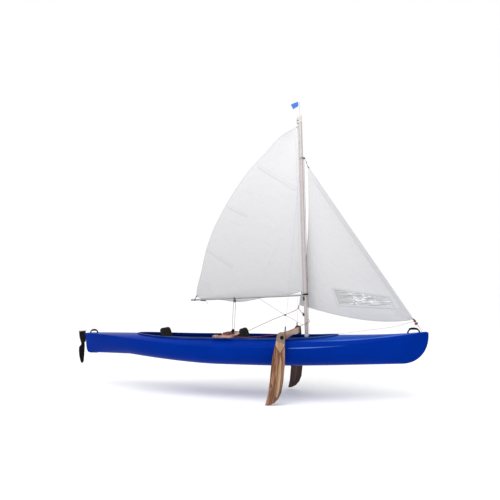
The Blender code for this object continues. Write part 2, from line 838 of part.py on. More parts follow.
LUFF_X = MAST_X - MAST_RADIUS - TRACK_DEPTH - GAP - LUFF_ROPE_RADIUS
GOOSENECK_TOP = BOOM_HEIGHT + GOOSENECK_HALF_HEIGHT
TRACK_BOTTOM = GOOSENECK_TOP + TRACK_LEAD
STEP_FLOOR = make_mast_step()
make_mast()
make_mast_collar()
make_mast_head()
make_pennant()
make_hounds()
make_gooseneck()
CLEAT_HALF_LENGTH = 0.030
HALYARD_CLEAT_HEIGHT = BOOM_HEIGHT - GOOSENECK_HALF_HEIGHT - CLEAT_HALF_LENGTH - JOINT_GAP
make_mast_cleat("halyard_cleat", HALYARD_CLEAT_HEIGHT, math.radians(62))
make_mast_cleat("vang_cleat", VANG_CLEAT_HEIGHT, math.radians(20))


# Leeboard beam, boards and knobs

def lip_top(x, y_sign):
    """Place and height of the coaming's lip at a station."""
    best = (0.0, 0.0)
    for step in range(120):
        y = y_sign * (0.12 + step * 0.0015)
        hit = COAMING_TREE.ray_cast(Vector((x, y, 2.0)), Vector((0, 0, -1)))[0]
        if hit and hit.z > best[1]:
            best = (y, hit.z)
    return best


def beam_bottom():
    edges = (BEAM_X - BEAM_THICKNESS / 2, BEAM_X, BEAM_X + BEAM_THICKNESS / 2)
    return max(lip_top(x, 1)[1] for x in edges) + GAP


BEAM_BOTTOM = beam_bottom()
BEAM_TOP = BEAM_BOTTOM + BEAM_DEPTH
PIVOT_Z = BEAM_TOP - PIVOT_DROP
BOARD_INNER_Y = BEAM_HALF_LENGTH + GAP
BOARD_OUTER_Y = BOARD_INNER_Y + BOARD_THICKNESS
KNOB_Y = BOARD_OUTER_Y + CHEEK_THICKNESS + GAP
BORE_DEPTH = 0.030


def make_beam():
    """Straight plank on edge, arched a little below between the coamings."""
    half = BEAM_HALF_LENGTH
    arch = 0.012
    outline = [(-half, 0.004), (-half + 0.02, 0.0), (-0.20, 0.0), (-0.12, arch * 0.7), (0.0, arch),
               (0.12, arch * 0.7), (0.20, 0.0), (half - 0.02, 0.0), (half, 0.004),
               (half, BEAM_DEPTH - 0.006), (half - 0.02, BEAM_DEPTH), (-half + 0.02, BEAM_DEPTH),
               (-half, BEAM_DEPTH - 0.006)]
    data = slab_mesh(outline, (BEAM_X - BEAM_THICKNESS / 2, 0, BEAM_BOTTOM),
                     (0, 1, 0), (0, 0, 1), BEAM_THICKNESS)
    beam = finish("leeboard_beam", data, thwart_wood())
    for side in (-1, 1):
        start = (BEAM_X, side * (half - BORE_DEPTH), PIVOT_Z)
        combine(beam, "DIFFERENCE", rod_mesh(start, (BEAM_X, side * (half + 0.01), PIVOT_Z),
                                             STUD_RADIUS + RUN, 16))


def make_beam_clamp(name, side):
    """Hook screwed to the beam's aft face, with its toe under the coaming's lip."""
    x = BEAM_X - BEAM_THICKNESS / 2 - GAP
    width = 0.024
    places = [x - width * share for share in (0.0, 0.5, 1.0)]
    edge = max(abs(rim_width(place)) for place in places)
    under = min(lip_under(place) for place in places) - GAP
    toe = 0.004
    outer = edge + LIP_REACH + 0.007
    inner = edge + LIP_REACH + 0.003
    outline = [(inner, under), (edge + 0.013, under), (edge + 0.013, under - toe),
               (outer, under - toe), (outer, BEAM_BOTTOM + 0.045), (inner - 0.010, BEAM_BOTTOM + 0.045),
               (inner - 0.010, BEAM_BOTTOM + 0.012), (inner, BEAM_BOTTOM + 0.006)]
    data = slab_mesh([(side * y, z) for y, z in outline], (x, 0, 0), (0, 1, 0), (0, 0, 1), -width)
    finish(name, data, bright_metal())


def rim_width(x):
    """Half width of the cockpit opening at a station, along the faceted edge."""
    edge = [place for place in cockpit_edge() if place[1] > 0]
    for (ax, ay), (bx, by) in zip(edge, edge[1:]):
        if min(ax, bx) <= x <= max(ax, bx):
            return ay + (by - ay) * (x - ax) / (bx - ax)
    return 0.0


def lip_under(x):
    """Height of the lip's outer underside at a station."""
    width = rim_width(x)
    return deck_height(x, width) + lip_height(x) - LIP_THICKNESS - 0.002 - 0.0012


def board_outline():
    """Leeboard seen from starboard, pivot at zero, leading edge towards +X."""
    leading = [(0.031, 0.048), (0.030, -0.030), (0.0265, -0.178), (0.0225, -0.338),
               (-0.004, -0.547), (-0.033, -0.683), (-0.072, -0.760), (-0.125, -0.815),
               (-0.190, -0.845)]
    trailing = [(-0.246, -0.848), (-0.228, -0.790), (-0.209, -0.725), (-0.178, -0.554),
                (-0.154, -0.343), (-0.120, -0.181), (-0.083, -0.043)]
    head = [(-0.074, 0.010), (-0.058, 0.048), (-0.030, 0.066), (0.004, 0.066)]
    return leading + trailing + head


def make_leeboard(side, swing, depth=1.0):
    """Flat board with faired edges, bored for the stud, and a cheek round its head."""
    name = "starboard" if side < 0 else "port"
    turn = Matrix.Rotation(swing, 3, "Y")
    middle = side * (BOARD_INNER_Y + BOARD_THICKNESS / 2)
    rings = []
    outline = [(x, z * depth if z < 0 else z) for x, z in board_outline()]
    centre = Vector((-0.07, 0, -0.35))
    for offset, inset in ((-0.5, 0.007), (-0.16, 0.0), (0.16, 0.0), (0.5, 0.007)):
        ring = []
        for index, (x, z) in enumerate(outline):
            before, after = outline[index - 1], outline[(index + 1) % len(outline)]
            edge = Vector((after[0] - before[0], 0, after[1] - before[1])).normalized()
            inward = Vector((edge.z, 0, -edge.x))
            if inward.dot(centre - Vector((x, 0, z))) < 0:
                inward = -inward
            place = Vector((x, 0, z)) + inward * inset
            ring.append(turn @ place + Vector((BEAM_X, middle + offset * BOARD_THICKNESS, PIVOT_Z)))
        rings.append(ring)
    board = finish("leeboard_" + name, ring_mesh(rings), board_wood(), 25.0)
    cheek = [(0.022, 0.040), (0.022, -0.060), (-0.064, -0.028), (-0.060, 0.012), (-0.046, 0.042),
             (-0.024, 0.057), (0.002, 0.057)]
    start = side * (BOARD_OUTER_Y - 0.001)
    plate = [turn @ Vector((x, 0, z)) + Vector((BEAM_X, start, PIVOT_Z)) for x, z in cheek]
    out = Vector((0, side * (CHEEK_THICKNESS + 0.001), 0))
    combine(board, "UNION", ring_mesh([plate, [point + out for point in plate]]))
    combine(board, "DIFFERENCE", rod_mesh((BEAM_X, side * (BEAM_HALF_LENGTH - 0.01), PIVOT_Z),
                                          (BEAM_X, side * (KNOB_Y + 0.01), PIVOT_Z),
                                          STUD_RADIUS + RUN, 16))
    knob = make_knob(side, name)
    anchor = pivot("board_axis_" + name, (BEAM_X, middle, PIVOT_Z))
    carry(anchor, board)
    knob_anchor = pivot("knob_axis_" + name, (BEAM_X, side * KNOB_Y, PIVOT_Z))
    carry(knob_anchor, knob)


def make_knob(side, name):
    """Six-lobed hand knob with the stud that runs through the board into the beam."""
    lobes = 6
    steps = 18
    rings = []
    for out, scale in ((0.0, 0.62), (0.005, 0.66), (0.009, 1.0), (KNOB_LENGTH - 0.004, 1.0),
                       (KNOB_LENGTH, 0.85)):
        ring = []
        for step in range(steps):
            angle = 2 * math.pi * step / steps
            ripple = 1 + (0.09 * math.cos(lobes * angle) if scale > 0.7 else 0.0)
            reach = KNOB_RADIUS * scale * ripple / 1.09
            ring.append(Vector((BEAM_X + reach * math.cos(angle), side * (KNOB_Y + out),
                                PIVOT_Z + reach * math.sin(angle))))
        rings.append(ring)
    knob = finish("leeboard_knob_" + name, ring_mesh(rings), black_plastic(), 50.0)
    tip = side * (BEAM_HALF_LENGTH - BORE_DEPTH + JOINT_GAP)
    combine(knob, "UNION", rod_mesh((BEAM_X, tip, PIVOT_Z),
                                    (BEAM_X, side * (KNOB_Y + 0.004), PIVOT_Z), STUD_RADIUS, 16))
    return knob


make_beam()
make_beam_clamp("beam_clamp_starboard", -1)
make_beam_clamp("beam_clamp_port", 1)
make_leeboard(-1, 0.0)
make_leeboard(1, PORT_BOARD_SWING, PORT_BOARD_DEPTH)


# Shrouds

def make_shroud(side):
    name = "starboard" if side < 0 else "port"
    foot = Vector((BEAM_X, side * SHROUD_HALF_SPACING, BEAM_TOP + GAP))
    top = Vector((MAST_X, side * (HOUNDS_HALF_SPAN - 0.006), HOUNDS_HEIGHT - 0.002 - 2 * GAP))
    along = (top - foot).normalized()
    plate = block_mesh(foot + Vector((-0.012, -0.016, 0.0)), foot + Vector((0.012, 0.016, 0.003)))
    buckle = finish("turnbuckle_" + name, plate, black_plastic())
    start = foot + along * 0.0015
    combine(buckle, "UNION", turned_mesh([(0.004, 0.0), (0.004, 0.014), (0.0075, 0.020),
                                          (0.0075, TURNBUCKLE_LENGTH - 0.012),
                                          (0.0040, TURNBUCKLE_LENGTH)], start, along, 10))
    finish("shroud_" + name,
           rod_mesh(start + along * (TURNBUCKLE_LENGTH + 2 * GAP), top, SHROUD_DIAMETER / 2, 8),
           bright_metal())


make_shroud(-1)
make_shroud(1)


# Thwart with its cleats and the mainsheet's lower block

def thwart_bottom():
    span = THWART_FORE_X - THWART_AFT_X
    return max(lip_top(THWART_AFT_X + span * share, 1)[1] for share in (0, 0.25, 0.5, 0.75, 1)) + GAP


THWART_TOP = thwart_bottom() + THWART_THICKNESS


def make_thwart():
    corner = 0.035
    half = THWART_HALF_SPAN
    outline = [(THWART_AFT_X + corner, -half), (THWART_FORE_X - corner, -half),
               (THWART_FORE_X - 0.008, -half + 0.010), (THWART_FORE_X, -half + corner),
               (THWART_FORE_X, half - corner), (THWART_FORE_X - 0.008, half - 0.010),
               (THWART_FORE_X - corner, half), (THWART_AFT_X + corner, half),
               (THWART_AFT_X + 0.008, half - 0.010), (THWART_AFT_X, half - corner),
               (THWART_AFT_X, -half + corner), (THWART_AFT_X + 0.008, -half + 0.010)]
    data = slab_mesh(outline, (0, 0, THWART_TOP - THWART_THICKNESS), (1, 0, 0), (0, 1, 0),
                     THWART_THICKNESS)
    finish("thwart_board", soften(data, 0.003, 1, 1.0), thwart_wood())


CLEATS = {"starboard": (-0.215, -0.205, math.radians(-13)),
          "port": (-0.165, 0.145, math.radians(23))}
CLEAT_LINE_HEIGHT = THWART_TOP + GAP + CLEAT_BASE_THICKNESS + 0.0065
CAM_PIN_RADIUS = 0.0028


def cleat_place(name, along, across=0.0):
    """A point in a cleat's own directions; the sheet runs along its length."""
    x, y, turn = CLEATS[name]
    return Vector((x + along * math.cos(turn) - across * math.sin(turn),
                   y + along * math.sin(turn) + across * math.cos(turn), CLEAT_LINE_HEIGHT))


def make_cleat(name):
    """Base with two cam posts and a fairlead arch on the side the sheet comes from."""
    x, y, turn = CLEATS[name]
    seat = Matrix.Translation((x, y, THWART_TOP + GAP)) @ Matrix.Rotation(turn, 4, "Z")
    top = CLEAT_BASE_THICKNESS
    plate = block_mesh((-0.024, -0.030, 0.0), (0.030, 0.030, top), 0.0015)
    base = finish("cleat_base_" + name, moved(plate, seat), black_plastic())
    for side in (-1, 1):
        y = side * CAM_PIN_SPACING
        post = rod_mesh((0, y, top - 0.002), (0, y, top + CAM_HEIGHT + 0.003), CAM_PIN_RADIUS, 10)
        combine(base, "UNION", moved(post, seat))
    arch = []
    for radius in (0.017, 0.012):
        bow = [(radius * math.cos(math.pi * s / 8), 0.006 + 1.15 * radius * math.sin(math.pi * s / 8))
               for s in range(9)]
        foot = [(radius, -0.002)] + bow + [(-radius, -0.002)]
        arch.append(foot)
    outline = arch[0] + arch[1][::-1]
    hoop = slab_mesh(outline, (0.019, 0, top), (0, 1, 0), (0, 0, 1), 0.007)
    combine(base, "UNION", moved(hoop, seat))
    for side in (-1, 1):
        where = "inboard" if side * CLEATS[name][1] < 0 else "outboard"
        make_cam("cam_%s_%s" % (name, where), side, seat)


def make_cam(name, side, seat):
    """Eccentric jaw with grooved teeth that bites towards the sheet."""
    teeth = 16
    pin_y = side * CAM_PIN_SPACING
    low = CLEAT_BASE_THICKNESS + GAP
    high = low + CAM_HEIGHT - GAP
    angles = [2 * math.pi * step / teeth for step in range(teeth)]
    rings = []
    for height in (low, high):
        ring = []
        for step, angle in enumerate(angles):
            reach = CAM_RADIUS - (0.0006 if step % 2 else 0.0)
            ring.append(Vector((reach * math.cos(angle),
                                pin_y - side * CAM_THROW + reach * math.sin(angle), height)))
        rings.append(ring)
    for height in (high, low):
        bore = CAM_PIN_RADIUS + RUN
        rings.append([Vector((bore * math.cos(angle), pin_y + bore * math.sin(angle), height))
                      for angle in angles])
    cam = finish(name, moved(ring_mesh(rings, cyclic=True), seat), black_plastic())
    carry(pivot(name + "_axis", seat @ Vector((0, pin_y, low))), cam)


SHEAVE_RADIUS = 0.0125
SHEAVE_RUN = SHEAVE_RADIUS + 2 * RUN + SHEET_DIAMETER / 2
BLOCK_HALF_HEIGHT = 0.025
BLOCK_CHEEK = 0.003
LOWER_BLOCK_Z = THWART_TOP + GAP + 0.041


def add_block(carrier, centre, becket):
    """Pulley cheeks and sheave joined to the piece that carries them."""
    inner = SHEET_DIAMETER / 2 + RUN
    outline = []
    for step in range(14):
        angle = 2 * math.pi * step / 14
        outline.append((0.021 * math.cos(angle), BLOCK_HALF_HEIGHT * math.sin(angle)))
    x, y, z = centre
    for start in (-inner, inner + BLOCK_CHEEK):
        combine(carrier, "UNION", slab_mesh(outline, (x, start, z), (1, 0, 0), (0, 0, 1),
                                            BLOCK_CHEEK))
    combine(carrier, "UNION", rod_mesh((x, -inner - 0.001, z), (x, inner + 0.001, z),
                                       SHEAVE_RADIUS, 14))
    if becket:
        low = z + becket
        combine(carrier, "UNION", block_mesh((x - SHEAVE_RUN - 0.003, -inner - 0.001, low),
                                             (x - SHEAVE_RUN + 0.003, inner + 0.001, low + 0.005)))


def make_thwart_block():
    """Swivel base with the mainsheet's lower block and its becket."""
    plate = turned_mesh([(0.024, 0.0), (0.024, 0.004), (0.010, 0.007), (0.008, 0.020)],
                        (MAINSHEET_X, 0, THWART_TOP + GAP), (0, 0, 1), 16)
    block = finish("sheet_block_lower", plate, black_plastic())
    add_block(block, (MAINSHEET_X, 0, LOWER_BLOCK_Z), 0.009)


make_thwart()
make_cleat("starboard")
make_cleat("port")
make_thwart_block()


# Boom, mainsail and their fittings

def boom_centre(x):
    return BOOM_HEIGHT - BOOM_DROP * (LUFF_X - x)


def make_boom():
    """Tube with a tongue on the gooseneck pin."""
    front = LUFF_X - BOOM_SETBACK
    back = BOOM_END_X
    along = Vector((front - back, 0, boom_centre(front) - boom_centre(back)))
    length = along.length
    inner = BOOM_RADIUS - BOOM_WALL
    rings = [(BOOM_RADIUS, 0.0), (BOOM_RADIUS, length), (inner, length), (inner, 0.0)]
    tube = finish("boom", turned_mesh(rings, (back, 0, boom_centre(back)), along, 16, True),
                  mast_alloy())
    nose = MAST_X - MAST_RADIUS - GAP - GOOSENECK_WALL - JOINT_GAP - LUFF_X
    bend = [math.radians(angle) for angle in (-60, -20, 20, 60)]
    plug = [(-0.050, -0.009), (-0.002, -0.009), (0.024, -0.0085)]
    plug += [(BOOM_SETBACK + nose * math.cos(a), nose * math.sin(a)) for a in bend]
    plug += [(0.024, 0.0085), (-0.002, 0.009), (-0.050, 0.009)]
    combine(tube, "UNION", slab_mesh(plug, (front, 0, boom_centre(front) - 0.009), (1, 0, 0),
                                     (0, 1, 0), 0.018))
    combine(tube, "DIFFERENCE", rod_mesh((LUFF_X, 0, BOOM_HEIGHT - 0.03),
                                         (LUFF_X, 0, BOOM_HEIGHT + 0.03),
                                         GOOSENECK_PIN_RADIUS + RUN, 12))
    return tube


def make_boom_end():
    """End cap with a plug in the tube."""
    along = Vector((1, 0, BOOM_DROP)).normalized()
    start = Vector((BOOM_END_X, 0, boom_centre(BOOM_END_X))) - along * GAP
    plug = BOOM_RADIUS - BOOM_WALL - GAP
    cap = turned_mesh([(plug, -0.030), (plug, 0.0), (BOOM_RADIUS, 0.0), (BOOM_RADIUS, 0.010),
                       (0.008, 0.022)], start, -along, 16)
    return finish("boom_end_cap", cap, black_plastic())


def make_upper_block():
    """Strap round the boom with the mainsheet's upper block under it."""
    inner = BOOM_RADIUS + GAP
    outer = inner + 0.002
    strap = turned_mesh([(outer, -0.008), (outer, 0.008), (inner, 0.008), (inner, -0.008)],
                        (UPPER_BLOCK_X, 0, boom_centre(UPPER_BLOCK_X)), (1, 0, BOOM_DROP), 16, True)
    made = finish("sheet_block_upper", strap, black_plastic())
    add_block(made, (UPPER_BLOCK_X, 0, UPPER_BLOCK_Z), 0.0)
    return made


def make_vang():
    """Line from the boom to its block and down to the mast, ending on the boom's axis."""
    top = Vector((VANG_BOOM_X, 0, boom_centre(VANG_BOOM_X) - BOOM_RADIUS - 0.0020))
    block = Vector((0.675, 0, 0.657))
    foot = Vector((LUFF_X, 0, 0.524))
    before = (top - block).normalized()
    after = (foot - block).normalized()
    points = [(*top, 1.0), (*top.lerp(block, 0.5), 1.0), (*(block + before * 0.014), 1.0),
              (*(block + before * 0.009), 3.2), (*(block + after * 0.009), 3.2),
              (*(block + after * 0.014), 1.0), (*block.lerp(foot, 0.5), 1.0), (*foot, 1.0)]
    return cord("vang_line", points, VANG_DIAMETER, pale_line())


UPPER_BLOCK_X = MAINSHEET_X + MAINSHEET_LEAD
UPPER_BLOCK_Z = boom_centre(UPPER_BLOCK_X) - BOOM_RADIUS - GAP + 0.0005 - BLOCK_HALF_HEIGHT
MAIN_HEAD_Z = 3.250
MAIN_LEECH = [(-0.640, 0.926), (-0.633, 1.020), (-0.553, 1.308), (-0.479, 1.595),
              (-0.363, 1.881), (-0.205, 2.162), (-0.018, 2.439), (0.202, 2.709), (0.482, 2.969),
              (0.652, 3.132), (0.885, 3.250)]
MAIN_TACK_Z = GOOSENECK_TOP + GAP
CLEW_STRAP_X = -0.626
MAIN_ROWS = 12
MAIN_COLUMNS = 9


def sheet_skin(rows, thickness):
    """Closed thin body from a grid of points, thickened along Y."""
    data = bmesh.new()
    faces = []
    grids = []
    for side in (-0.5, 0.5):
        grid = []
        for row in rows:
            grid.append([data.verts.new(point + Vector((0, side * thickness, 0)))
                         for point in row])
        grids.append(grid)
    for grid in grids:
        for near, far in zip(grid, grid[1:]):
            for index in range(len(near) - 1):
                faces.append((near[index], near[index + 1], far[index + 1], far[index]))
    rim = [(0, index) for index in range(len(rows[0]) - 1)]
    rim += [(index, len(rows[0]) - 1) for index in range(len(rows) - 1)]
    rim += [(len(rows) - 1, index) for index in range(len(rows[0]) - 1, 0, -1)]
    rim += [(index, 0) for index in range(len(rows) - 1, 0, -1)]
    for here, there in zip(rim, rim[1:] + rim[:1]):
        faces.append((grids[0][here[0]][here[1]], grids[0][there[0]][there[1]],
                      grids[1][there[0]][there[1]], grids[1][here[0]][here[1]]))
    for face in faces:
        data.faces.new(face)
    return data


def belly(share):
    """Camber along a sail's chord, fullest at two fifths from the luff."""
    return math.sin(math.pi * share ** 0.76) ** 1.1


def make_mainsail():
    """Cambered sail with its luff rope in line with the gooseneck pin."""
    leech = spaced([(x, 0, z) for x, z in MAIN_LEECH], MAIN_ROWS)
    rows = []
    for index, edge in enumerate(leech):
        up = index / (MAIN_ROWS - 1)
        luff = Vector((LUFF_X, 0, MAIN_TACK_Z + 0.006 + (MAIN_HEAD_Z - MAIN_TACK_Z - 0.006) * up))
        row = []
        for column in range(MAIN_COLUMNS):
            across = column / (MAIN_COLUMNS - 1)
            point = luff.lerp(edge, across)
            chord = (edge - luff).length
            point.y += MAIN_BELLY * belly(across) * (chord / 1.6) * (1 - 0.25 * (1 - up) ** 4)
            droop = max(0.0, 1 - up * 6)
            point.z -= FOOT_DROOP * math.sin(math.pi * across) ** 2 * droop
            row.append(point)
        rows.append(row)
    sail = finish("mainsail", sheet_skin(rows, SAIL_THICKNESS), sail_cloth(), 60.0)
    combine(sail, "UNION", rod_mesh((LUFF_X, 0, MAIN_TACK_Z), (LUFF_X, 0, MAST_TOP),
                                    LUFF_ROPE_RADIUS, 10))
    add_clew_strap(sail)
    return sail


def add_clew_strap(sail):
    """Band round the boom that holds the clew."""
    along = Vector((1, 0, BOOM_DROP))
    inner = BOOM_RADIUS + GAP
    centre = boom_centre(CLEW_STRAP_X)
    band = turned_mesh([(inner + 0.002, -0.012), (inner + 0.002, 0.012), (inner, 0.012),
                        (inner, -0.012)], (CLEW_STRAP_X, 0, centre), along, 16, True)
    combine(sail, "UNION", band)
    combine(sail, "UNION", block_mesh((CLEW_STRAP_X - 0.010, -0.0028, centre + inner + 0.001),
                                      (CLEW_STRAP_X + 0.008, 0.0028, centre + 0.052)))


BOOM_PARTS = [make_boom(), make_boom_end(), make_upper_block(), make_mainsail(), make_vang()]
carry(pivot("boom_axis", (LUFF_X, 0, BOOM_HEIGHT)), *BOOM_PARTS)


# Jib, its furling drum and swivel

JIB_TACK_Z = 0.600
JIB_HEAD_Z = HOUNDS_HEIGHT - 0.156
JIB_CLEW = Vector((0.836, 0.160, 0.784))
JIB_ROWS = 10
JIB_COLUMNS = 8
SWIVEL_LENGTH = 0.030


def make_jib():
    """Cambered triangle on its luff rope, sheeted to port of the mast."""
    head = stay_point(JIB_HEAD_Z)
    tack = stay_point(JIB_TACK_Z)
    rows = []
    for index in range(JIB_ROWS):
        up = index / (JIB_ROWS - 1)
        luff = tack.lerp(head, up)
        edge = JIB_CLEW.lerp(head + Vector((-0.020, 0, -0.010)), up)
        edge.x += 0.06 * math.sin(math.pi * up)
        row = []
        for column in range(JIB_COLUMNS):
            across = column / (JIB_COLUMNS - 1)
            point = luff.lerp(edge, across)
            chord = (edge - luff).length
            point.y += JIB_BELLY * belly(across) * (chord / 1.5)
            foot = max(0.0, 1 - up * 5)
            point.z -= 0.105 * math.sin(math.pi * across ** 0.8) * foot
            row.append(point)
        rows.append(row)
    sail = finish("jib_sail", sheet_skin(rows, SAIL_THICKNESS), sail_cloth(), 60.0)
    combine(sail, "UNION", rod_mesh(tack - STAY_AXIS * 0.002, head + STAY_AXIS * 0.002,
                                    LUFF_ROPE_RADIUS, 10))
    return sail


def make_furler_drum():
    """Spool under the jib's tack that winds the furling line."""
    drum = 0.036
    profile = [(0.004, 0.0), (0.016, 0.002), (0.016, 0.005), (0.007, 0.006), (0.007, drum - 0.010),
               (0.016, drum - 0.009), (0.016, drum - 0.006), (0.005, drum - 0.004), (0.004, drum)]
    top = stay_point(JIB_TACK_Z) - STAY_AXIS * (0.002 + GAP)
    data = turned_mesh(profile, top - STAY_AXIS * drum, STAY_AXIS, 16)
    made = finish("furler_drum", data, black_plastic())
    return made, top - STAY_AXIS * (drum + GAP)


def make_swivel():
    start = stay_point(JIB_HEAD_Z) + STAY_AXIS * (0.002 + GAP)
    data = turned_mesh([(0.004, 0.0), (0.0065, 0.004), (0.0065, 0.013), (0.004, 0.015),
                        (0.006, 0.017), (0.006, SWIVEL_LENGTH - 0.003), (0.003, SWIVEL_LENGTH)],
                       start, STAY_AXIS, 12)
    return finish("jib_swivel", data, bright_metal()), start + STAY_AXIS * (SWIVEL_LENGTH + 0.001)


JIB = make_jib()
DRUM, STROP_TOP = make_furler_drum()
SWIVEL, HALYARD_START = make_swivel()
carry(pivot("jib_axis", stay_point(JIB_TACK_Z)), JIB, DRUM, SWIVEL)


# Running rigging

def around_mast(degrees, reach, height):
    """A point beside the mast, by angle from dead ahead towards port."""
    angle = math.radians(degrees)
    return Vector((MAST_X + reach * math.cos(angle), reach * math.sin(angle), height))


def make_halyard():
    front = MAST_X + MAST_RADIUS + 0.0105
    top = HOUNDS_HEIGHT - 0.012
    cord("jib_halyard", eased(
        [HALYARD_START, (1.0285, 0, top - 0.052), (1.0165, 0, top - 0.013), (1.0105, 0, top - 0.002),
          (front + 0.0075, 0, top), (front + 0.0015, 0, top - 0.006), (front, 0, top - 0.016),
          (front, 0, top - 0.10), (front, 0, 1.8), (front, 0, 0.80), (front, 0, 0.34),
          (front - 0.001, 0, 0.22), (MAST_X + 0.0286, 0, STEP_FLOOR + STEP_HEIGHT + 2 * GAP)],
        0.16, 0.0010), HALYARD_DIAMETER, red_line())


def make_furling_line():
    drum = stay_point(JIB_TACK_Z) - STAY_AXIS * 0.022
    end = COCKPIT_MIDDLE + COCKPIT_HALF_LENGTH
    rise = deck_height(end, 0) + LIP_HEIGHT_END + 0.0001
    cord("furling_line", eased(
        [drum + Vector((-0.0089, -0.004, -0.0055)), (2.066, -0.004, 0.503), (1.774, -0.004, 0.463),
          (end + 0.106, -0.004, rise + 0.0095), (end + 0.016, -0.004, rise + 0.0015),
          (end - 0.014, -0.004, rise + 0.0005), (end - 0.032, -0.004, rise - 0.0145),
          (end - 0.038, -0.004, 0.360)],
        0.12, 0.0006), FURLING_DIAMETER, red_line())


def make_mainsheet():
    """Two falls between the blocks and a tail on the thwart."""
    top, low = UPPER_BLOCK_Z, LOWER_BLOCK_Z
    run = SHEAVE_RUN
    rest = THWART_TOP + 3 * GAP + SHEET_DIAMETER / 2

    def fall(side, height):
        lead = MAINSHEET_LEAD * (height - low) / (top - low)
        return Vector((MAINSHEET_X + lead + side * run, 0, height))

    route = [fall(-1, low + 0.015), fall(-1, low + 0.20), fall(-1, top - 0.030)]
    for step in range(7):
        angle = math.pi - math.pi * step / 6
        route.append(Vector((UPPER_BLOCK_X + run * math.cos(angle), 0,
                             top + run * math.sin(angle))))
    route += [fall(1, top - 0.030), fall(1, low + 0.20), fall(1, low + 0.030)]
    for step in range(4):
        angle = -math.pi / 2 * step / 3
        route.append(Vector((MAINSHEET_X + run * math.cos(angle), 0, low + run * math.sin(angle))))
    route += [(MAINSHEET_X - 0.020, 0.0, low - run - 0.002), (-0.124, -0.006, rest + 0.009),
              (-0.154, -0.014, rest), (-0.190, -0.022, rest), (-0.228, -0.010, rest),
              (-0.238, 0.018, rest), (-0.215, 0.038, rest), (-0.170, 0.040, rest),
              (-0.125, 0.052, rest), (-0.060, 0.080, rest)]
    cord("mainsheet", eased(route, 0.16, 0.0007), SHEET_DIAMETER, pale_line())


def make_jib_sheets():
    """Sheets from the clew: one straight to its cleat, one round the mast's front."""
    radius = JIB_SHEET_DIAMETER / 2
    rest = THWART_TOP + 2 * GAP + radius
    start = JIB_CLEW + Vector((-0.0006, 0.0, -0.0032))
    knot = Vector((0.828, 0.160, 0.743))
    cord("jib_sheet_port", eased(
        [start, knot, knot.lerp(Vector((0.030, 0.226, rest + 0.003)), 0.5),
          (0.034, 0.228, rest + 0.0055), (0.014, 0.220, rest + 0.0012),
          (-0.010, 0.2105, rest + 0.0006), (-0.060, 0.1895, rest + 0.0015),
          cleat_place("port", 0.045), cleat_place("port", 0.022), cleat_place("port", 0.0),
          cleat_place("port", -0.022), cleat_place("port", -0.040) - Vector((0, 0, 0.004)),
          (-0.229, 0.126, rest), (-0.247, 0.143, rest), (-0.240, 0.178, rest),
          (-0.200, 0.204, rest), (-0.140, 0.226, rest), (-0.105, 0.252, rest),
          (-0.118, 0.284, rest), (-0.160, 0.292, rest), (-0.205, 0.280, rest)],
        0.12, 0.0011), JIB_SHEET_DIAMETER, red_line())
    aside = Vector((0.0, -(JIB_SHEET_DIAMETER + 0.0015), 0.0))
    lip = THWART_TOP - THWART_THICKNESS + radius
    route = [start + aside, knot + aside + Vector((0.003, 0.0, 0.004)), (0.862, 0.126, 0.702),
             around_mast(135, 0.056, 0.650)]
    route += [around_mast(105, 0.043, 0.624), around_mast(75, 0.0405, 0.604),
              around_mast(45, 0.0410, 0.588), around_mast(20, 0.0425, 0.577),
              around_mast(-5, 0.0430, 0.569), around_mast(-30, 0.0425, 0.561),
              around_mast(-60, 0.0405, 0.552), around_mast(-90, 0.0405, 0.543),
              around_mast(-120, 0.0440, 0.535)]
    route += [(0.889, -0.066, 0.512), (0.815, -0.150, 0.482),
              (BEAM_X + BEAM_THICKNESS / 2, -0.215, BEAM_TOP + GAP + radius + 0.004),
              (BEAM_X, -0.235, BEAM_TOP + GAP + radius + 0.0015),
              (BEAM_X - BEAM_THICKNESS / 2, -0.252, BEAM_TOP + GAP + radius + 0.0005),
              (0.640, -0.279, 0.428), (0.480, -0.284, 0.404), (0.320, -0.283, lip + 0.010),
              (0.190, -0.281, lip + 0.004), (0.090, -0.276, lip + 0.007),
              (0.030, -0.266, rest + 0.003), (-0.030, -0.252, rest + 0.001)]
    route += [cleat_place("starboard", 0.055) + Vector((0, 0, -0.003)),
              cleat_place("starboard", 0.022), cleat_place("starboard", 0.0),
              cleat_place("starboard", -0.022),
              cleat_place("starboard", -0.040) - Vector((0, 0, 0.004)),
              (-0.266, -0.188, rest), (-0.266, -0.160, rest), (-0.236, -0.136, rest)]
    turns, outer, inner = 1.7, 0.064, 0.034
    steps = 18
    for step in range(steps + 1):
        share = step / steps
        angle = math.radians(178) - 2 * math.pi * turns * share
        reach = outer + (inner - outer) * share
        route.append(Vector((-0.128 + reach * math.cos(angle), -0.118 + reach * math.sin(angle),
                             rest)))
    cord("jib_sheet_starboard", eased(route, 0.12, 0.0016), JIB_SHEET_DIAMETER, red_line())


def make_bow_strop():
    eye = Vector((STAY_EYE_X, 0, STAY_EYE_Z + 0.0022))
    finish("bow_strop", rod_mesh(eye, STROP_TOP, STROP_DIAMETER / 2, 8), red_line())


make_bow_strop()
make_halyard()
make_furling_line()
make_mainsheet()
make_jib_sheets()


# Seats

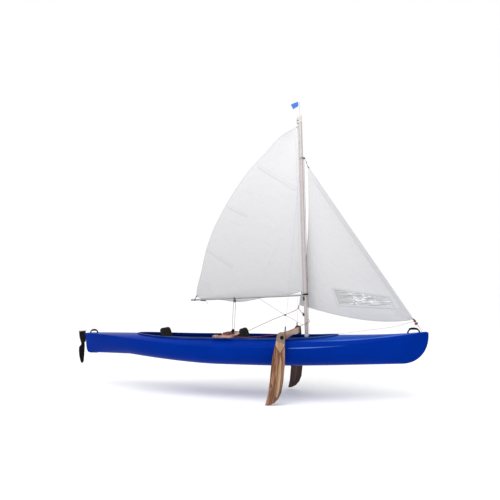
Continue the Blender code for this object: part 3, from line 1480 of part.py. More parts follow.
def make_seat(place, hinge_x):
    """Moulded pan on a pedestal, with ears and a pin for the folding back."""
    rear = hinge_x - 0.030
    front = rear + SEAT_LENGTH
    rings = []
    for share, rise in ((0.0, -0.002), (0.12, -0.006), (0.45, -0.008), (0.80, 0.004), (1.0, 0.012)):
        x = rear + SEAT_LENGTH * share
        width = SEAT_HALF_WIDTH * (0.90 + 0.10 * math.sin(math.pi * share))
        top = SEAT_PAN_TOP + rise
        bottom = top - SEAT_PAN_THICKNESS
        upper = [(-width, top + 0.010), (-0.78 * width, top + 0.008), (-0.45 * width, top),
                 (0.0, top + 0.002), (0.45 * width, top), (0.78 * width, top + 0.008),
                 (width, top + 0.010)]
        lower = [(width, top + 0.002), (0.6 * width, bottom), (-0.6 * width, bottom),
                 (-width, top + 0.002)]
        rings.append([Vector((x, y, z)) for y, z in upper + lower])
    seat = finish("seat_base_" + place, ring_mesh(rings), black_plastic())
    half = KEEL_PLANK_SHARE * (half_breadth(rear) - HULL_WALL) * 0.86
    ends = []
    for x in (rear + 0.050, front - 0.050):
        ends.append((x, height_on(HULL_TREE, [(x, 0.0), (x, half), (x, -half)]) + GAP))
    middle = SEAT_PAN_TOP - SEAT_PAN_THICKNESS * 0.6
    outline = [ends[0], ends[1], (front - 0.060, middle), (rear + 0.060, middle)]
    combine(seat, "UNION", slab_mesh(outline, (0, half, 0), (1, 0, 0), (0, 0, 1), 2 * half))
    ear = [(-0.030, SEAT_PAN_TOP - 0.012), (0.026, SEAT_PAN_TOP - 0.012),
           (SEAT_BARREL * 0.9, SEAT_HINGE_HEIGHT), (SEAT_BARREL * 0.55, SEAT_HINGE_HEIGHT + 0.010),
           (0.0, SEAT_HINGE_HEIGHT + 0.013), (-SEAT_BARREL * 0.55, SEAT_HINGE_HEIGHT + 0.010),
           (-SEAT_BARREL * 0.9, SEAT_HINGE_HEIGHT)]
    for y in (-SEAT_EAR_Y, SEAT_EAR_Y + 0.007):
        combine(seat, "UNION", slab_mesh(ear, (hinge_x, y, 0), (1, 0, 0), (0, 0, 1), 0.007))
    reach = SEAT_EAR_Y + 0.003
    combine(seat, "UNION", rod_mesh((hinge_x, -reach, SEAT_HINGE_HEIGHT),
                                    (hinge_x, reach, SEAT_HINGE_HEIGHT), SEAT_HINGE_PIN, 12))
    make_seat_back(place, hinge_x)


def make_seat_back(place, hinge_x):
    """Padded rest, narrower at the top, on a barrel that turns on the seat's pin."""
    lean = Matrix.Rotation(-BACK_LEAN, 3, "Y")
    hinge = Vector((hinge_x, 0, SEAT_HINGE_HEIGHT))
    start = SEAT_BARREL + 0.010
    outline = []
    for share, width in ((0.0, 0.80), (0.05, 0.95), (0.14, 1.0), (0.5, 0.975), (0.82, 0.94),
                         (0.95, 0.84), (1.0, 0.64)):
        taper = BACK_HALF_BASE + (BACK_HALF_TOP - BACK_HALF_BASE) * share
        outline.append((taper * width / (1.0 - 0.08 * share), start + (BACK_HEIGHT - start) * share))
    loop = outline + [(-y, z) for y, z in reversed(outline)]
    middle = (start + BACK_HEIGHT) / 2
    rings = []
    for depth, shrink in ((-BACK_AFT_FACE, 0.86), (0.012 - BACK_AFT_FACE, 0.985),
                          (BACK_FORE_FACE - 0.012, 0.985), (BACK_FORE_FACE, 0.86)):
        rings.append([hinge + lean @ Vector((depth, y * shrink, middle + (z - middle) * shrink))
                      for y, z in loop])
    back = finish("seat_back_" + place, ring_mesh(rings), padded_cloth(), 50.0)
    width = SEAT_EAR_Y - JOINT_GAP
    combine(back, "UNION", rod_mesh(hinge - Vector((0, width, 0)), hinge + Vector((0, width, 0)),
                                    SEAT_BARREL - 0.002, 14))
    strap = [(-0.007, 0.0), (0.007, 0.0), (0.007, start + 0.030), (-0.007, start + 0.030)]
    across = lean @ Vector((1, 0, 0))
    up = lean @ Vector((0, 0, 1))
    combine(back, "UNION", slab_mesh(strap, hinge + Vector((0, width * 0.9, 0)), across, up,
                                     width * 1.8))
    combine(back, "DIFFERENCE", rod_mesh(hinge - Vector((0, width + 0.01, 0)),
                                         hinge + Vector((0, width + 0.01, 0)),
                                         SEAT_HINGE_PIN + RUN, 14))
    carry(pivot("seat_axis_" + place, hinge), back)


SEAT_EAR_Y = 0.090
make_seat("aft", AFT_SEAT_HINGE_X)
make_seat("front", FORE_SEAT_HINGE_X)


# Rudder

RUDDER_PIN_X = -HULL_LENGTH / 2 - RUDDER_PIN_SETBACK
BLADE_PIVOT_X = RUDDER_PIN_X - BLADE_PIVOT_SETBACK


def make_rudder_bracket():
    """Plate on the transom with two lugs for the rudder's pin."""
    face = -HULL_LENGTH / 2 - GAP
    back = finish("rudder_bracket",
                  block_mesh((face - 0.006, -0.020, RUDDER_STOCK_BOTTOM), (face, 0.020, 0.385)),
                  bright_metal())
    for low in LUG_LEVELS:
        tongue = [(face - 0.004, -0.010), (face - 0.004, 0.010), (RUDDER_PIN_X, 0.010)]
        for step in range(1, 6):
            angle = math.pi / 2 + math.pi * step / 6
            tongue.append((RUDDER_PIN_X + 0.010 * math.cos(angle), 0.010 * math.sin(angle)))
        tongue.append((RUDDER_PIN_X, -0.010))
        combine(back, "UNION", slab_mesh(tongue, (0, 0, low), (1, 0, 0), (0, 1, 0), LUG_THICKNESS))
    combine(back, "DIFFERENCE", rod_mesh((RUDDER_PIN_X, 0, 0.20), (RUDDER_PIN_X, 0, 0.50),
                                         RUDDER_PIN_RADIUS + RUN, 14))


LUG_THICKNESS = 0.006
LUG_LEVELS = (0.275, 0.365)


def make_rudder_head():
    """Stock between the lugs, two cheeks for the blade and the bolt it lifts on."""
    low = LUG_LEVELS[0] + LUG_THICKNESS + JOINT_GAP
    high = LUG_LEVELS[1] - JOINT_GAP
    half = BLADE_ROOT_THICKNESS / 2 + JOINT_GAP
    outer = half + CHEEK_PLATE
    back = RUDDER_PIN_X - 0.124
    front = RUDDER_PIN_X - 0.0145
    outline = [(front, RUDDER_STOCK_BOTTOM - 0.012), (front, RUDDER_TOP), (back, RUDDER_TOP),
               (back + 0.008, 0.330), (back + 0.019, 0.290), (back + 0.034, 0.250),
               (back + 0.050, 0.238), (back + 0.080, 0.238)]
    data = slab_mesh(outline, (0, outer, 0), (1, 0, 0), (0, 0, 1), 2 * outer)
    head = finish("rudder_head", soften(data, 0.002), black_plastic())
    combine(head, "DIFFERENCE", block_mesh((back - 0.04, -half, 0.20),
                                           (front - 0.006, half, RUDDER_TOP - 0.016)))
    combine(head, "UNION", block_mesh((front - 0.004, -0.008, low), (RUDDER_PIN_X, 0.008, high)))
    combine(head, "UNION", turned_mesh([(RUDDER_STOCK_RADIUS, 0.0),
                                        (RUDDER_STOCK_RADIUS, high - low)],
                                       (RUDDER_PIN_X, 0, low), (0, 0, 1), 16))
    nut = LUG_LEVELS[1] + LUG_THICKNESS + JOINT_GAP
    combine(head, "UNION", turned_mesh([(RUDDER_PIN_RADIUS, RUDDER_STOCK_BOTTOM + 0.004),
                                        (RUDDER_PIN_RADIUS, nut), (0.008, nut), (0.008, nut + 0.006),
                                        (RUDDER_PIN_RADIUS, nut + 0.008)],
                                       (RUDDER_PIN_X, 0, 0), (0, 0, 1), 12))
    reach = outer + 0.004
    bolt = Vector((BLADE_PIVOT_X, 0, BLADE_PIVOT_Z))
    combine(head, "UNION", rod_mesh(bolt - Vector((0, outer, 0)), bolt + Vector((0, outer, 0)),
                                    BLADE_BOLT_RADIUS, 14))
    for side in (-1, 1):
        combine(head, "UNION", rod_mesh(bolt + Vector((0, side * (outer - 0.001), 0)),
                                        bolt + Vector((0, side * reach, 0)), 0.009, 6))
    return head


def make_rudder_yoke():
    """Crossbar on the rudder head for the steering lines."""
    bottom = RUDDER_TOP + GAP
    starboard = [(-0.022, -0.012), (-0.040, -0.030), (-0.046, -0.105), (-0.066, -0.105),
                 (-0.074, -0.030), (-0.119, -0.012)]
    outline = starboard + [(x, -y) for x, y in reversed(starboard)]
    yoke = finish("rudder_yoke",
                  slab_mesh(outline, (RUDDER_PIN_X, 0, bottom), (1, 0, 0), (0, 1, 0), 0.004),
                  bright_metal())
    eye = RUDDER_PIN_X - 0.056
    for side in (-1, 1):
        combine(yoke, "DIFFERENCE", rod_mesh((eye, side * 0.097, bottom - 0.01),
                                             (eye, side * 0.097, bottom + 0.02), 0.003, 10))
    return yoke


def make_rudder_blade():
    """Kick-up blade, notched behind and rounded over its bolt."""
    root = 0.032
    outline = []
    for step in range(9):
        angle = math.pi * step / 8
        outline.append((BLADE_PIVOT_X + root * math.cos(angle),
                        BLADE_PIVOT_Z + root * math.sin(angle)))
    edge = [(-0.098, 0.250), (-0.088, 0.230), (-0.090, 0.207), (-0.108, 0.187), (-0.130, 0.163),
            (-0.132, 0.105), (-0.124, 0.028), (-0.109, -0.028), (-0.096, -0.064),
            (-0.079, -0.081), (-0.058, -0.076), (-0.042, -0.050), (-0.032, 0.060),
            (-0.024, 0.180), (-0.027, 0.250)]
    outline += [(RUDDER_PIN_X + x, z) for x, z in edge]
    thickness = BLADE_ROOT_THICKNESS
    centre = Vector((RUDDER_PIN_X - 0.076, 0, 0.10))
    rings = []
    for offset, inset in ((-0.5, 0.005), (-0.15, 0.0), (0.15, 0.0), (0.5, 0.005)):
        ring = []
        for x, z in outline:
            place = Vector((x, 0, z))
            pull = centre - place
            shift = Vector((pull.x, 0, 0)) if z > -0.06 else Vector((0, 0, 1))
            if z > BLADE_PIVOT_Z:
                shift = Vector((BLADE_PIVOT_X, 0, BLADE_PIVOT_Z)) - place
            if shift.length > 0:
                place += shift.normalized() * inset
            ring.append(place + Vector((0, offset * thickness, 0)))
        rings.append(ring)
    blade = finish("rudder_blade", ring_mesh(rings), black_plastic(), 30.0)
    combine(blade, "DIFFERENCE", rod_mesh((BLADE_PIVOT_X, -0.02, BLADE_PIVOT_Z),
                                          (BLADE_PIVOT_X, 0.02, BLADE_PIVOT_Z),
                                          BLADE_BOLT_RADIUS + RUN, 14))
    return blade


make_rudder_bracket()
carry(pivot("steering_axis", (RUDDER_PIN_X, 0, RUDDER_STOCK_BOTTOM)), make_rudder_head(),
      make_rudder_yoke())
carry(pivot("blade_axis", (BLADE_PIVOT_X, 0, BLADE_PIVOT_Z)), make_rudder_blade())


# Steering pedals

RAIL_HEIGHT = 0.014
RAIL_HALF_WIDTH = 0.008
TRACK_PLATE = 0.004


def make_pedal_track():
    """Flat plate on the keel with two T-section rails."""
    half = PEDAL_RAIL_Y + RAIL_HALF_WIDTH + 0.003
    aft = height_on(HULL_TREE, [(PEDAL_TRACK_AFT, 0), (PEDAL_TRACK_AFT, half)]) + GAP
    fore = height_on(HULL_TREE, [(PEDAL_TRACK_FORE, 0), (PEDAL_TRACK_FORE, half)]) + GAP
    top = max(aft, fore) + TRACK_PLATE
    outline = [(PEDAL_TRACK_AFT, aft), (PEDAL_TRACK_FORE, fore), (PEDAL_TRACK_FORE, top),
               (PEDAL_TRACK_AFT, top)]
    track = finish("pedal_track", slab_mesh(outline, (0, half, 0), (1, 0, 0), (0, 0, 1), 2 * half),
                   bright_metal())
    for side in (-1, 1):
        y = side * PEDAL_RAIL_Y
        rail = [(y - 0.003, -0.001), (y + 0.003, -0.001), (y + 0.003, RAIL_HEIGHT - 0.005),
                (y + RAIL_HALF_WIDTH, RAIL_HEIGHT - 0.005), (y + RAIL_HALF_WIDTH, RAIL_HEIGHT),
                (y - RAIL_HALF_WIDTH, RAIL_HEIGHT), (y - RAIL_HALF_WIDTH, RAIL_HEIGHT - 0.005),
                (y - 0.003, RAIL_HEIGHT - 0.005)]
        combine(track, "UNION", slab_mesh(rail, (PEDAL_TRACK_AFT + 0.006, 0, top), (0, 1, 0),
                                          (0, 0, 1), PEDAL_TRACK_FORE - PEDAL_TRACK_AFT - 0.012))
    return top


def make_pedal(side, rail_foot):
    """Shoe that hooks the rail, with an upright foot plate."""
    y = side * PEDAL_RAIL_Y
    run = JOINT_GAP * 0.5
    low = rail_foot + run
    neck = rail_foot + RAIL_HEIGHT - 0.005 - run
    roof = rail_foot + RAIL_HEIGHT + run
    inner = RAIL_HALF_WIDTH + run
    outer = inner + 0.004
    stem = 0.003 + run
    shoe = [(-outer, low), (-stem, low), (-stem, neck), (-inner, neck), (-inner, roof),
            (inner, roof), (inner, neck), (stem, neck), (stem, low), (outer, low),
            (outer, roof + 0.006), (-outer, roof + 0.006)]
    shoe = [(y + a, b) for a, b in shoe]
    length = 0.060
    name = "starboard" if side < 0 else "port"
    pedal = finish("pedal_" + name,
                   slab_mesh(shoe, (PEDAL_X - length / 2, 0, 0), (0, 1, 0), (0, 0, 1), length),
                   black_plastic())
    plate = [(-0.020, roof + 0.004), (0.000, roof + 0.004), (0.046, roof + 0.130),
             (0.048, roof + 0.150), (0.040, roof + 0.150), (0.034, roof + 0.130)]
    near = y - 0.008 if side > 0 else y - 0.078
    width = 0.086
    combine(pedal, "UNION", slab_mesh(plate, (PEDAL_X, near + width, 0), (1, 0, 0), (0, 0, 1),
                                      width))
    carry(pivot("pedal_slide_" + name, (PEDAL_X, y, roof)), pedal)


RAIL_FOOT = make_pedal_track()
make_pedal(-1, RAIL_FOOT)
make_pedal(1, RAIL_FOOT)
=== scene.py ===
"""Two-seat sailing canoe: smooth mouldings, sails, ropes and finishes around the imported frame."""
import math

import bmesh
import bpy
from mathutils import Matrix, Vector, noise
from mathutils.bvhtree import BVHTree


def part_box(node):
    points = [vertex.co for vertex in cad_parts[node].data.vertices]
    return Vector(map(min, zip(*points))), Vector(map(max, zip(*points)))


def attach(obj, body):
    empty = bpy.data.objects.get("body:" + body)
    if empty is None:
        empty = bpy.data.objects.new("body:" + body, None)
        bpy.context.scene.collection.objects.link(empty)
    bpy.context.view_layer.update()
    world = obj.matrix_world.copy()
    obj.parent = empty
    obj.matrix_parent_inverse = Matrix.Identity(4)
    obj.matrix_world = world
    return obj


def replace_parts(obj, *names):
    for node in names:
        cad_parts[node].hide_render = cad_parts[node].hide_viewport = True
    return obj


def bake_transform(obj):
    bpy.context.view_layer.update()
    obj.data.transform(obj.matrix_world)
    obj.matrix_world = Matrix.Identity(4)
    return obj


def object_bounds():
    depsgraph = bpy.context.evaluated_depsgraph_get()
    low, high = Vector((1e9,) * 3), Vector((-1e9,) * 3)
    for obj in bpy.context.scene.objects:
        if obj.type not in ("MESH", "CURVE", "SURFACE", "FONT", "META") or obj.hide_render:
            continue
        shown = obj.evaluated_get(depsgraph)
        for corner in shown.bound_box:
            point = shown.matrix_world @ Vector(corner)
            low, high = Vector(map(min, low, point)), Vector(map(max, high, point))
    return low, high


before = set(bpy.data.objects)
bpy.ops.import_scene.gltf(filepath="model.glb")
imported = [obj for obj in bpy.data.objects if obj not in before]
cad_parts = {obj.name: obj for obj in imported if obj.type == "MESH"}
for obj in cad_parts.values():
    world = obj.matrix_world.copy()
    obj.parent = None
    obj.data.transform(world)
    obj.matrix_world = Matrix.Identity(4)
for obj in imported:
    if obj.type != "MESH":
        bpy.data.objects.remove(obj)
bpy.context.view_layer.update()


# Camera
# It stands off the starboard bow, a little above the deck, and looks slightly up at the sails.

CAMERA_PLACE = Vector((2.2496, -6.4173, 1.0726))
CAMERA_YAW = 0.3104
CAMERA_PITCH = 0.0732
CAMERA_ROLL = 0.0215
SENSOR_WIDTH = 36.0
FOCAL_SHARE = 480 / 500


def aim_camera():
    cosine, sine = math.cos(CAMERA_PITCH), math.sin(CAMERA_PITCH)
    forward = Vector((-math.sin(CAMERA_YAW) * cosine, math.cos(CAMERA_YAW) * cosine, sine))
    level = Vector((math.cos(CAMERA_YAW), math.sin(CAMERA_YAW), 0.0))
    above = level.cross(forward)
    right = level * math.cos(CAMERA_ROLL) - above * math.sin(CAMERA_ROLL)
    up = above * math.cos(CAMERA_ROLL) + level * math.sin(CAMERA_ROLL)
    data = bpy.data.cameras.new("camera")
    data.sensor_width = SENSOR_WIDTH
    data.lens = SENSOR_WIDTH * FOCAL_SHARE
    camera = bpy.data.objects.new("camera", data)
    bpy.context.scene.collection.objects.link(camera)
    turn = Matrix((right, up, -forward)).transposed().to_4x4()
    camera.matrix_world = Matrix.Translation(CAMERA_PLACE) @ turn
    bpy.context.scene.camera = camera


aim_camera()


# Ropes
# Braided polyester: red sheets, halyard and furling line, and a pale grey mainsheet and vang.
# Each runs its route over the fittings, and the sheets' spare ends lie on the thwart.

def colour(red, green, blue):
    """A screen colour, 0 to 255, as the linear colour that shaders use."""
    parts = []
    for part in (red / 255, green / 255, blue / 255):
        parts.append(part / 12.92 if part <= 0.04045 else ((part + 0.055) / 1.055) ** 2.4)
    return (*parts, 1.0)


def add_node(tree, kind, sockets=None, **options):
    """Add a shader node; a socket that is given a Value is linked to it."""
    made = tree.nodes.new(kind)
    for option, value in options.items():
        setattr(made, option, value)
    for socket, value in (sockets or {}).items():
        if isinstance(value, Value):
            tree.links.new(value.socket, made.inputs[socket])
        else:
            made.inputs[socket].default_value = value
    return made


class Value:
    """What a shader node puts out, with arithmetic that adds more nodes."""

    def __init__(self, tree, socket):
        self.tree, self.socket = tree, socket

    def node(self, kind, sockets, output=0, **options):
        made = add_node(self.tree, kind, sockets, **options)
        return Value(self.tree, made.outputs[output])

    def maths(self, operation, *others):
        return self.node("ShaderNodeMath", dict(enumerate((self, *others))), operation=operation)

    def __add__(self, other):
        return self.maths("ADD", other)

    def __sub__(self, other):
        return self.maths("SUBTRACT", other)

    def __rsub__(self, other):
        return self.maths("MULTIPLY_ADD", -1.0, other)

    def __mul__(self, other):
        return self.maths("MULTIPLY", other)

    def __truediv__(self, other):
        return self.maths("DIVIDE", other)

    def __pow__(self, power):
        return self.maths("POWER", power)

    def __abs__(self):
        return self.maths("ABSOLUTE")

    def ramp(self, low, high, start, end):
        """From start to end as the value goes from low to high."""
        return self.node("ShaderNodeMapRange", {0: self, 1: low, 2: high, 3: start, 4: end})

    def mixed(self, share, other, mode="MIX"):
        """This colour blended with another."""
        return self.node("ShaderNodeMix", {0: share, 6: self, 7: other}, 2, data_type="RGBA",
                         blend_type=mode)

    def parts(self):
        made = add_node(self.tree, "ShaderNodeSeparateXYZ", {0: self})
        return [Value(self.tree, output) for output in made.outputs]

    def vector(self, operation, other):
        return self.node("ShaderNodeVectorMath", {0: self, 1: other}, operation=operation)

    def mapped(self, scale, turn=(0.0, 0.0, 0.0)):
        return self.node("ShaderNodeMapping", {0: self, 2: turn, 3: scale})

    def noise(self, scale, detail=2.0, distortion=0.0, output="Fac"):
        return self.node("ShaderNodeTexNoise", {"Vector": self, "Scale": scale, "Detail": detail,
                                                "Distortion": distortion}, output)


def coordinates(tree, label):
    return Value(tree, add_node(tree, "ShaderNodeTexCoord").outputs[label])


def new_effect(name, inputs):
    """A shader node group and what it is given; it puts out Color, Roughness and Height."""
    group = bpy.data.node_groups.new(name, "ShaderNodeTree")
    for label, value in inputs.items():
        kind = "NodeSocketFloat"
        if isinstance(value, tuple):
            kind = "NodeSocketColor" if len(value) == 4 else "NodeSocketVector"
        group.interface.new_socket(label, in_out="INPUT", socket_type=kind).default_value = value
    for label, kind in (("Color", "Color"), ("Roughness", "Float"), ("Height", "Float")):
        group.interface.new_socket(label, in_out="OUTPUT", socket_type="NodeSocket" + kind)
    given = group.nodes.new("NodeGroupInput").outputs
    return group, {label: Value(group, given[label]) for label in inputs}


def put_out(group, shade, roughness, height):
    add_node(group, "NodeGroupOutput", {"Color": shade, "Roughness": roughness, "Height": height})
    return group


def use_effect(tree, effect, values):
    """An effect's colour, roughness and height inside another tree."""
    made = add_node(tree, "ShaderNodeGroup", values, node_tree=effect)
    return [Value(tree, made.outputs[label]) for label in ("Color", "Roughness", "Height")]


def new_material(name, effect, values, bump, specular=0.5, light=0.0, **constants):
    """A Principled material on an effect; light is the share that shines through thin cloth."""
    made = bpy.data.materials.new(name)
    made.use_nodes = True
    tree = made.node_tree
    shader = tree.nodes["Principled BSDF"]
    shade, rough, height = use_effect(tree, effect, values)
    relief = height.node("ShaderNodeBump", {"Height": height, "Distance": bump, "Strength": 1.0})
    for label, value in (("Base Color", shade), ("Roughness", rough), ("Normal", relief)):
        tree.links.new(value.socket, shader.inputs[label])
    shader.inputs["Specular IOR Level"].default_value = specular
    for label, value in constants.items():
        shader.inputs[label.replace("_", " ")].default_value = value
    if light:
        behind = shade.node("ShaderNodeBsdfTranslucent", {"Color": shade})
        mixed = add_node(tree, "ShaderNodeMixShader",
                         {0: light, 1: Value(tree, shader.outputs[0]), 2: behind})
        tree.links.new(mixed.outputs[0], tree.nodes["Material Output"].inputs["Surface"])
    return made


def make_braid_effect():
    """Two sets of strands that cross at 45 degrees, with painted shade in the grooves between them;
    UV is turns round and diameters along.
    """
    group, given = new_effect("braided_cover", {
        "Colour": colour(200, 30, 30), "Fleck": colour(230, 225, 220), "Strands": 8.0,
        "Fleck share": 0.12})
    place = coordinates(group, "UV")
    around, along = place.parts()[:2]
    along = along / math.pi
    first, second = (around + along) * given["Strands"], (around - along) * given["Strands"]
    ridges = [abs((lane * math.pi).maths("SINE")) for lane in (first, second)]
    over = (first.maths("FLOOR") + second.maths("FLOOR")).maths("PINGPONG", 1.0)
    height = ridges[0] * over + ridges[1] * (1.0 - over)
    strand = first.maths("FLOOR").maths("WRAP", given["Strands"], 0.0) / given["Strands"]
    picked = strand.maths("LESS_THAN", given["Fleck share"])
    shade = given["Colour"].mixed(picked * over, given["Fleck"])
    # Painted shade: the grooves between the strands are darkened.
    groove_shade = shade.mixed(1.0, (0.45, 0.45, 0.45, 1.0), "MULTIPLY")
    shade = groove_shade.mixed(height.ramp(0.1, 0.75, 0.0, 1.0), shade)
    wear_and_highlight = place.noise(1.7, 3.0).ramp(0.35, 0.75, 0.0, 0.08)
    shade = shade.mixed(wear_and_highlight, colour(215, 205, 200))
    return put_out(group, shade, height.ramp(0.0, 1.0, 0.92, 0.74), height)


BRAID = make_braid_effect()


def rope_material(name, shade, fleck, share, **constants):
    values = {"Colour": shade, "Fleck": fleck, "Fleck share": share}
    return new_material(name, BRAID, values, 0.0004, **constants)


WHITE_FLECK = colour(230, 225, 220)
RED_ROPE = rope_material("red_braid", colour(112, 3, 18), WHITE_FLECK, 0.04, specular=0.1)
PALE_ROPE = rope_material("pale_braid", colour(84, 98, 128), colour(52, 66, 104), 0.13,
                          specular=0.1)
STROP_ROPE = rope_material("worn_braid", colour(112, 78, 74), WHITE_FLECK, 0.2, Sheen_Weight=0.25)
VANG_ROPE = rope_material("vang_braid", colour(140, 132, 140), colour(90, 80, 96), 0.1,
                          specular=0.1)


def smooth_line(points):
    """Dense points on a smooth curve through a route, steady over uneven spacing."""
    route = [Vector(point) for point in points]
    padded = [2 * route[0] - route[1]] + route + [2 * route[-1] - route[-2]]
    dense = []
    for index in range(1, len(padded) - 2):
        before, start, end, after = padded[index - 1:index + 3]
        first = math.sqrt((start - before).length)
        middle = math.sqrt((end - start).length)
        last = math.sqrt((after - end).length)
        leave = (start - before) / first - (end - before) / (first + middle)
        leave = (leave + (end - start) / middle) * middle
        arrive = (after - end) / last - (after - start) / (last + middle)
        arrive = (arrive + (end - start) / middle) * middle
        for step in range(16):
            t = step / 16
            dense.append((2 * t ** 3 - 3 * t ** 2 + 1) * start + (t ** 3 - 2 * t ** 2 + t) * leave
                         + (3 * t ** 2 - 2 * t ** 3) * end + (t ** 3 - t ** 2) * arrive)
    return dense + [route[-1].copy()]


def even_points(dense, count):
    """Points at even steps along a line."""
    lengths = [0.0]
    for near, far in zip(dense, dense[1:]):
        lengths.append(lengths[-1] + (far - near).length)
    result, cursor = [], 0
    for step in range(count):
        target = lengths[-1] * step / (count - 1)
        while cursor < len(lengths) - 2 and lengths[cursor + 1] < target:
            cursor += 1
        span = lengths[cursor + 1] - lengths[cursor]
        share = (target - lengths[cursor]) / span if span else 0.0
        result.append(dense[cursor].lerp(dense[cursor + 1], min(share, 1.0)))
    return result


def line_length(points):
    return sum((far - near).length for near, far in zip(points, points[1:]))


def new_piece(name, data, material, body=None, sharp=40.0, turned=True):
    """Turn a bmesh into a smooth-shaded piece that rides on a body, its faces turned outwards."""
    if turned:
        bmesh.ops.recalc_face_normals(data, faces=data.faces)
    mesh = bpy.data.meshes.new(name)
    data.to_mesh(mesh)
    data.free()
    mesh.shade_smooth()
    mesh.set_sharp_from_angle(angle=math.radians(sharp))
    mesh.materials.append(material)
    made = bpy.data.objects.new(name, mesh)
    bpy.context.scene.collection.objects.link(made)
    if body:
        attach(made, body)
    return made


def sweep(points, radii, sides=10, closed=False):
    """A tube along points with UVs in turns round and diameters along."""
    data = bmesh.new()
    layer = data.loops.layers.uv.new("UVMap")
    count = len(points)
    rings, guide, travel, run = [], Vector((0, 0, 1)), [], 0.0
    for index, point in enumerate(points):
        before = points[index - 1] if index or closed else point
        after = points[(index + 1) % count] if index < count - 1 or closed else point
        along = (after - before).normalized()
        if not index and abs(along.z) >= 0.9:
            guide = Vector((1, 0, 0))
        guide = (guide - along * guide.dot(along)).normalized()
        other = along.cross(guide)
        radius = radii[index] if isinstance(radii, list) else radii
        ring = []
        for step in range(sides):
            angle = 2 * math.pi * step / sides
            offset = guide * math.cos(angle) * radius + other * math.sin(angle) * radius
            ring.append(data.verts.new(point + offset))
        rings.append(ring)
        if index:
            run += (point - points[index - 1]).length / (2 * radius)
        travel.append(run)
    for index in range(count if closed else count - 1):
        near, far = rings[index], rings[(index + 1) % count]
        for step in range(sides):
            after = (step + 1) % sides
            face = data.faces.new((near[step], near[after], far[after], far[step]))
            marks = ((step, index), (step + 1, index), (step + 1, index + 1), (step, index + 1))
            for loop, (turn, row) in zip(face.loops, marks):
                loop[layer].uv = (turn / sides, travel[row % count])
    if not closed:
        data.faces.new(rings[0][::-1])
        data.faces.new(rings[-1])
    return data


GAP = 0.0003
MAST_X = 0.962
MAST_RADIUS = 0.024
LUFF_X = 0.9237
BOOM_HEIGHT = 0.9240
BOOM_DROP = 0.0288
BOOM_RADIUS = 0.0125
BEAM_X = 0.754
SHEET_DIAMETER = 0.005
JIB_SHEET_DIAMETER = 0.006
ROPE_STEP = 0.009
THWART_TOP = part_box("thwart_board")[1].z
THWART_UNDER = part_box("thwart_board")[0].z
BEAM_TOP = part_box("leeboard_beam")[1].z
HOUNDS_HEIGHT = 2.806
STAY_EYE = Vector((2.419, 0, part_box("bow_eye")[1].z))
STAY_SLOPE = 1.621
STAY_AXIS = Vector((-1 / STAY_SLOPE, 0, 1)).normalized()
JIB_TACK_Z = 0.600
JIB_HEAD_Z = HOUNDS_HEIGHT - 0.156
JIB_CLEW = Vector((0.836, 0.160, 0.784))
MAINSHEET_X = -0.084
MAINSHEET_LEAD = 0.032
COAMING_END_X = 1.366
COAMING_END_Z = 0.4101
CLEATS = {"starboard": (-0.215, -0.205, math.radians(-13)),
          "port": (-0.165, 0.145, math.radians(23))}


def stay_point(height):
    """A point on the line from the bow eye to the hounds."""
    return STAY_EYE + Vector((-(height - STAY_EYE.z) / STAY_SLOPE, 0, height - STAY_EYE.z))


def boom_centre(x):
    return BOOM_HEIGHT - BOOM_DROP * (LUFF_X - x)


def cleat_place(name, along):
    x, y, turn = CLEATS[name]
    return Vector((x + along * math.cos(turn), y + along * math.sin(turn), THWART_TOP + 0.0118))


def around_mast(degrees, reach, height):
    angle = math.radians(degrees)
    return Vector((MAST_X + reach * math.cos(angle), reach * math.sin(angle), height))


def rope(name, node, route, diameter, material, body=None):
    """A rope in place of a packed one; it is taut on a body, or loose and bare at its end."""
    dense = smooth_line(route)
    points = even_points(dense, max(12, round(line_length(dense) / ROPE_STEP)))
    piece = new_piece(name, sweep(points, diameter / 2), material, body, 80.0)
    line_length(points)
    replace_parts(piece, node)
    return piece


def mainsheet_route():
    """Two falls between the blocks, then a loose end on the thwart."""
    upper = MAINSHEET_X + MAINSHEET_LEAD
    top = boom_centre(upper) - BOOM_RADIUS + 0.0002 - 0.025
    low = THWART_TOP + GAP + 0.041
    run = 0.0158
    rest = THWART_TOP + 3 * GAP + SHEET_DIAMETER / 2

    def fall(side, height):
        lead = MAINSHEET_LEAD * (height - low) / (top - low)
        return Vector((MAINSHEET_X + lead + side * run, 0, height))

    route = [fall(-1, low + 0.015), fall(-1, low + 0.20), fall(-1, top - 0.030)]
    for step in range(7):
        angle = math.pi - math.pi * step / 6
        route.append((upper + run * math.cos(angle), 0, top + run * math.sin(angle)))
    route += [fall(1, top - 0.030), fall(1, low + 0.20), fall(1, low + 0.030)]
    for step in range(4):
        angle = -math.pi / 2 * step / 3
        route.append((MAINSHEET_X + run * math.cos(angle), 0, low + run * math.sin(angle)))
    route += [(MAINSHEET_X - 0.020, 0.0, low - run - 0.002), (-0.124, -0.006, rest + 0.009),
              (-0.154, -0.014, rest), (-0.190, -0.022, rest), (-0.228, -0.010, rest),
              (-0.238, 0.018, rest), (-0.215, 0.038, rest), (-0.170, 0.040, rest),
              (-0.125, 0.052, rest), (-0.060, 0.080, rest)]
    return route, low, top


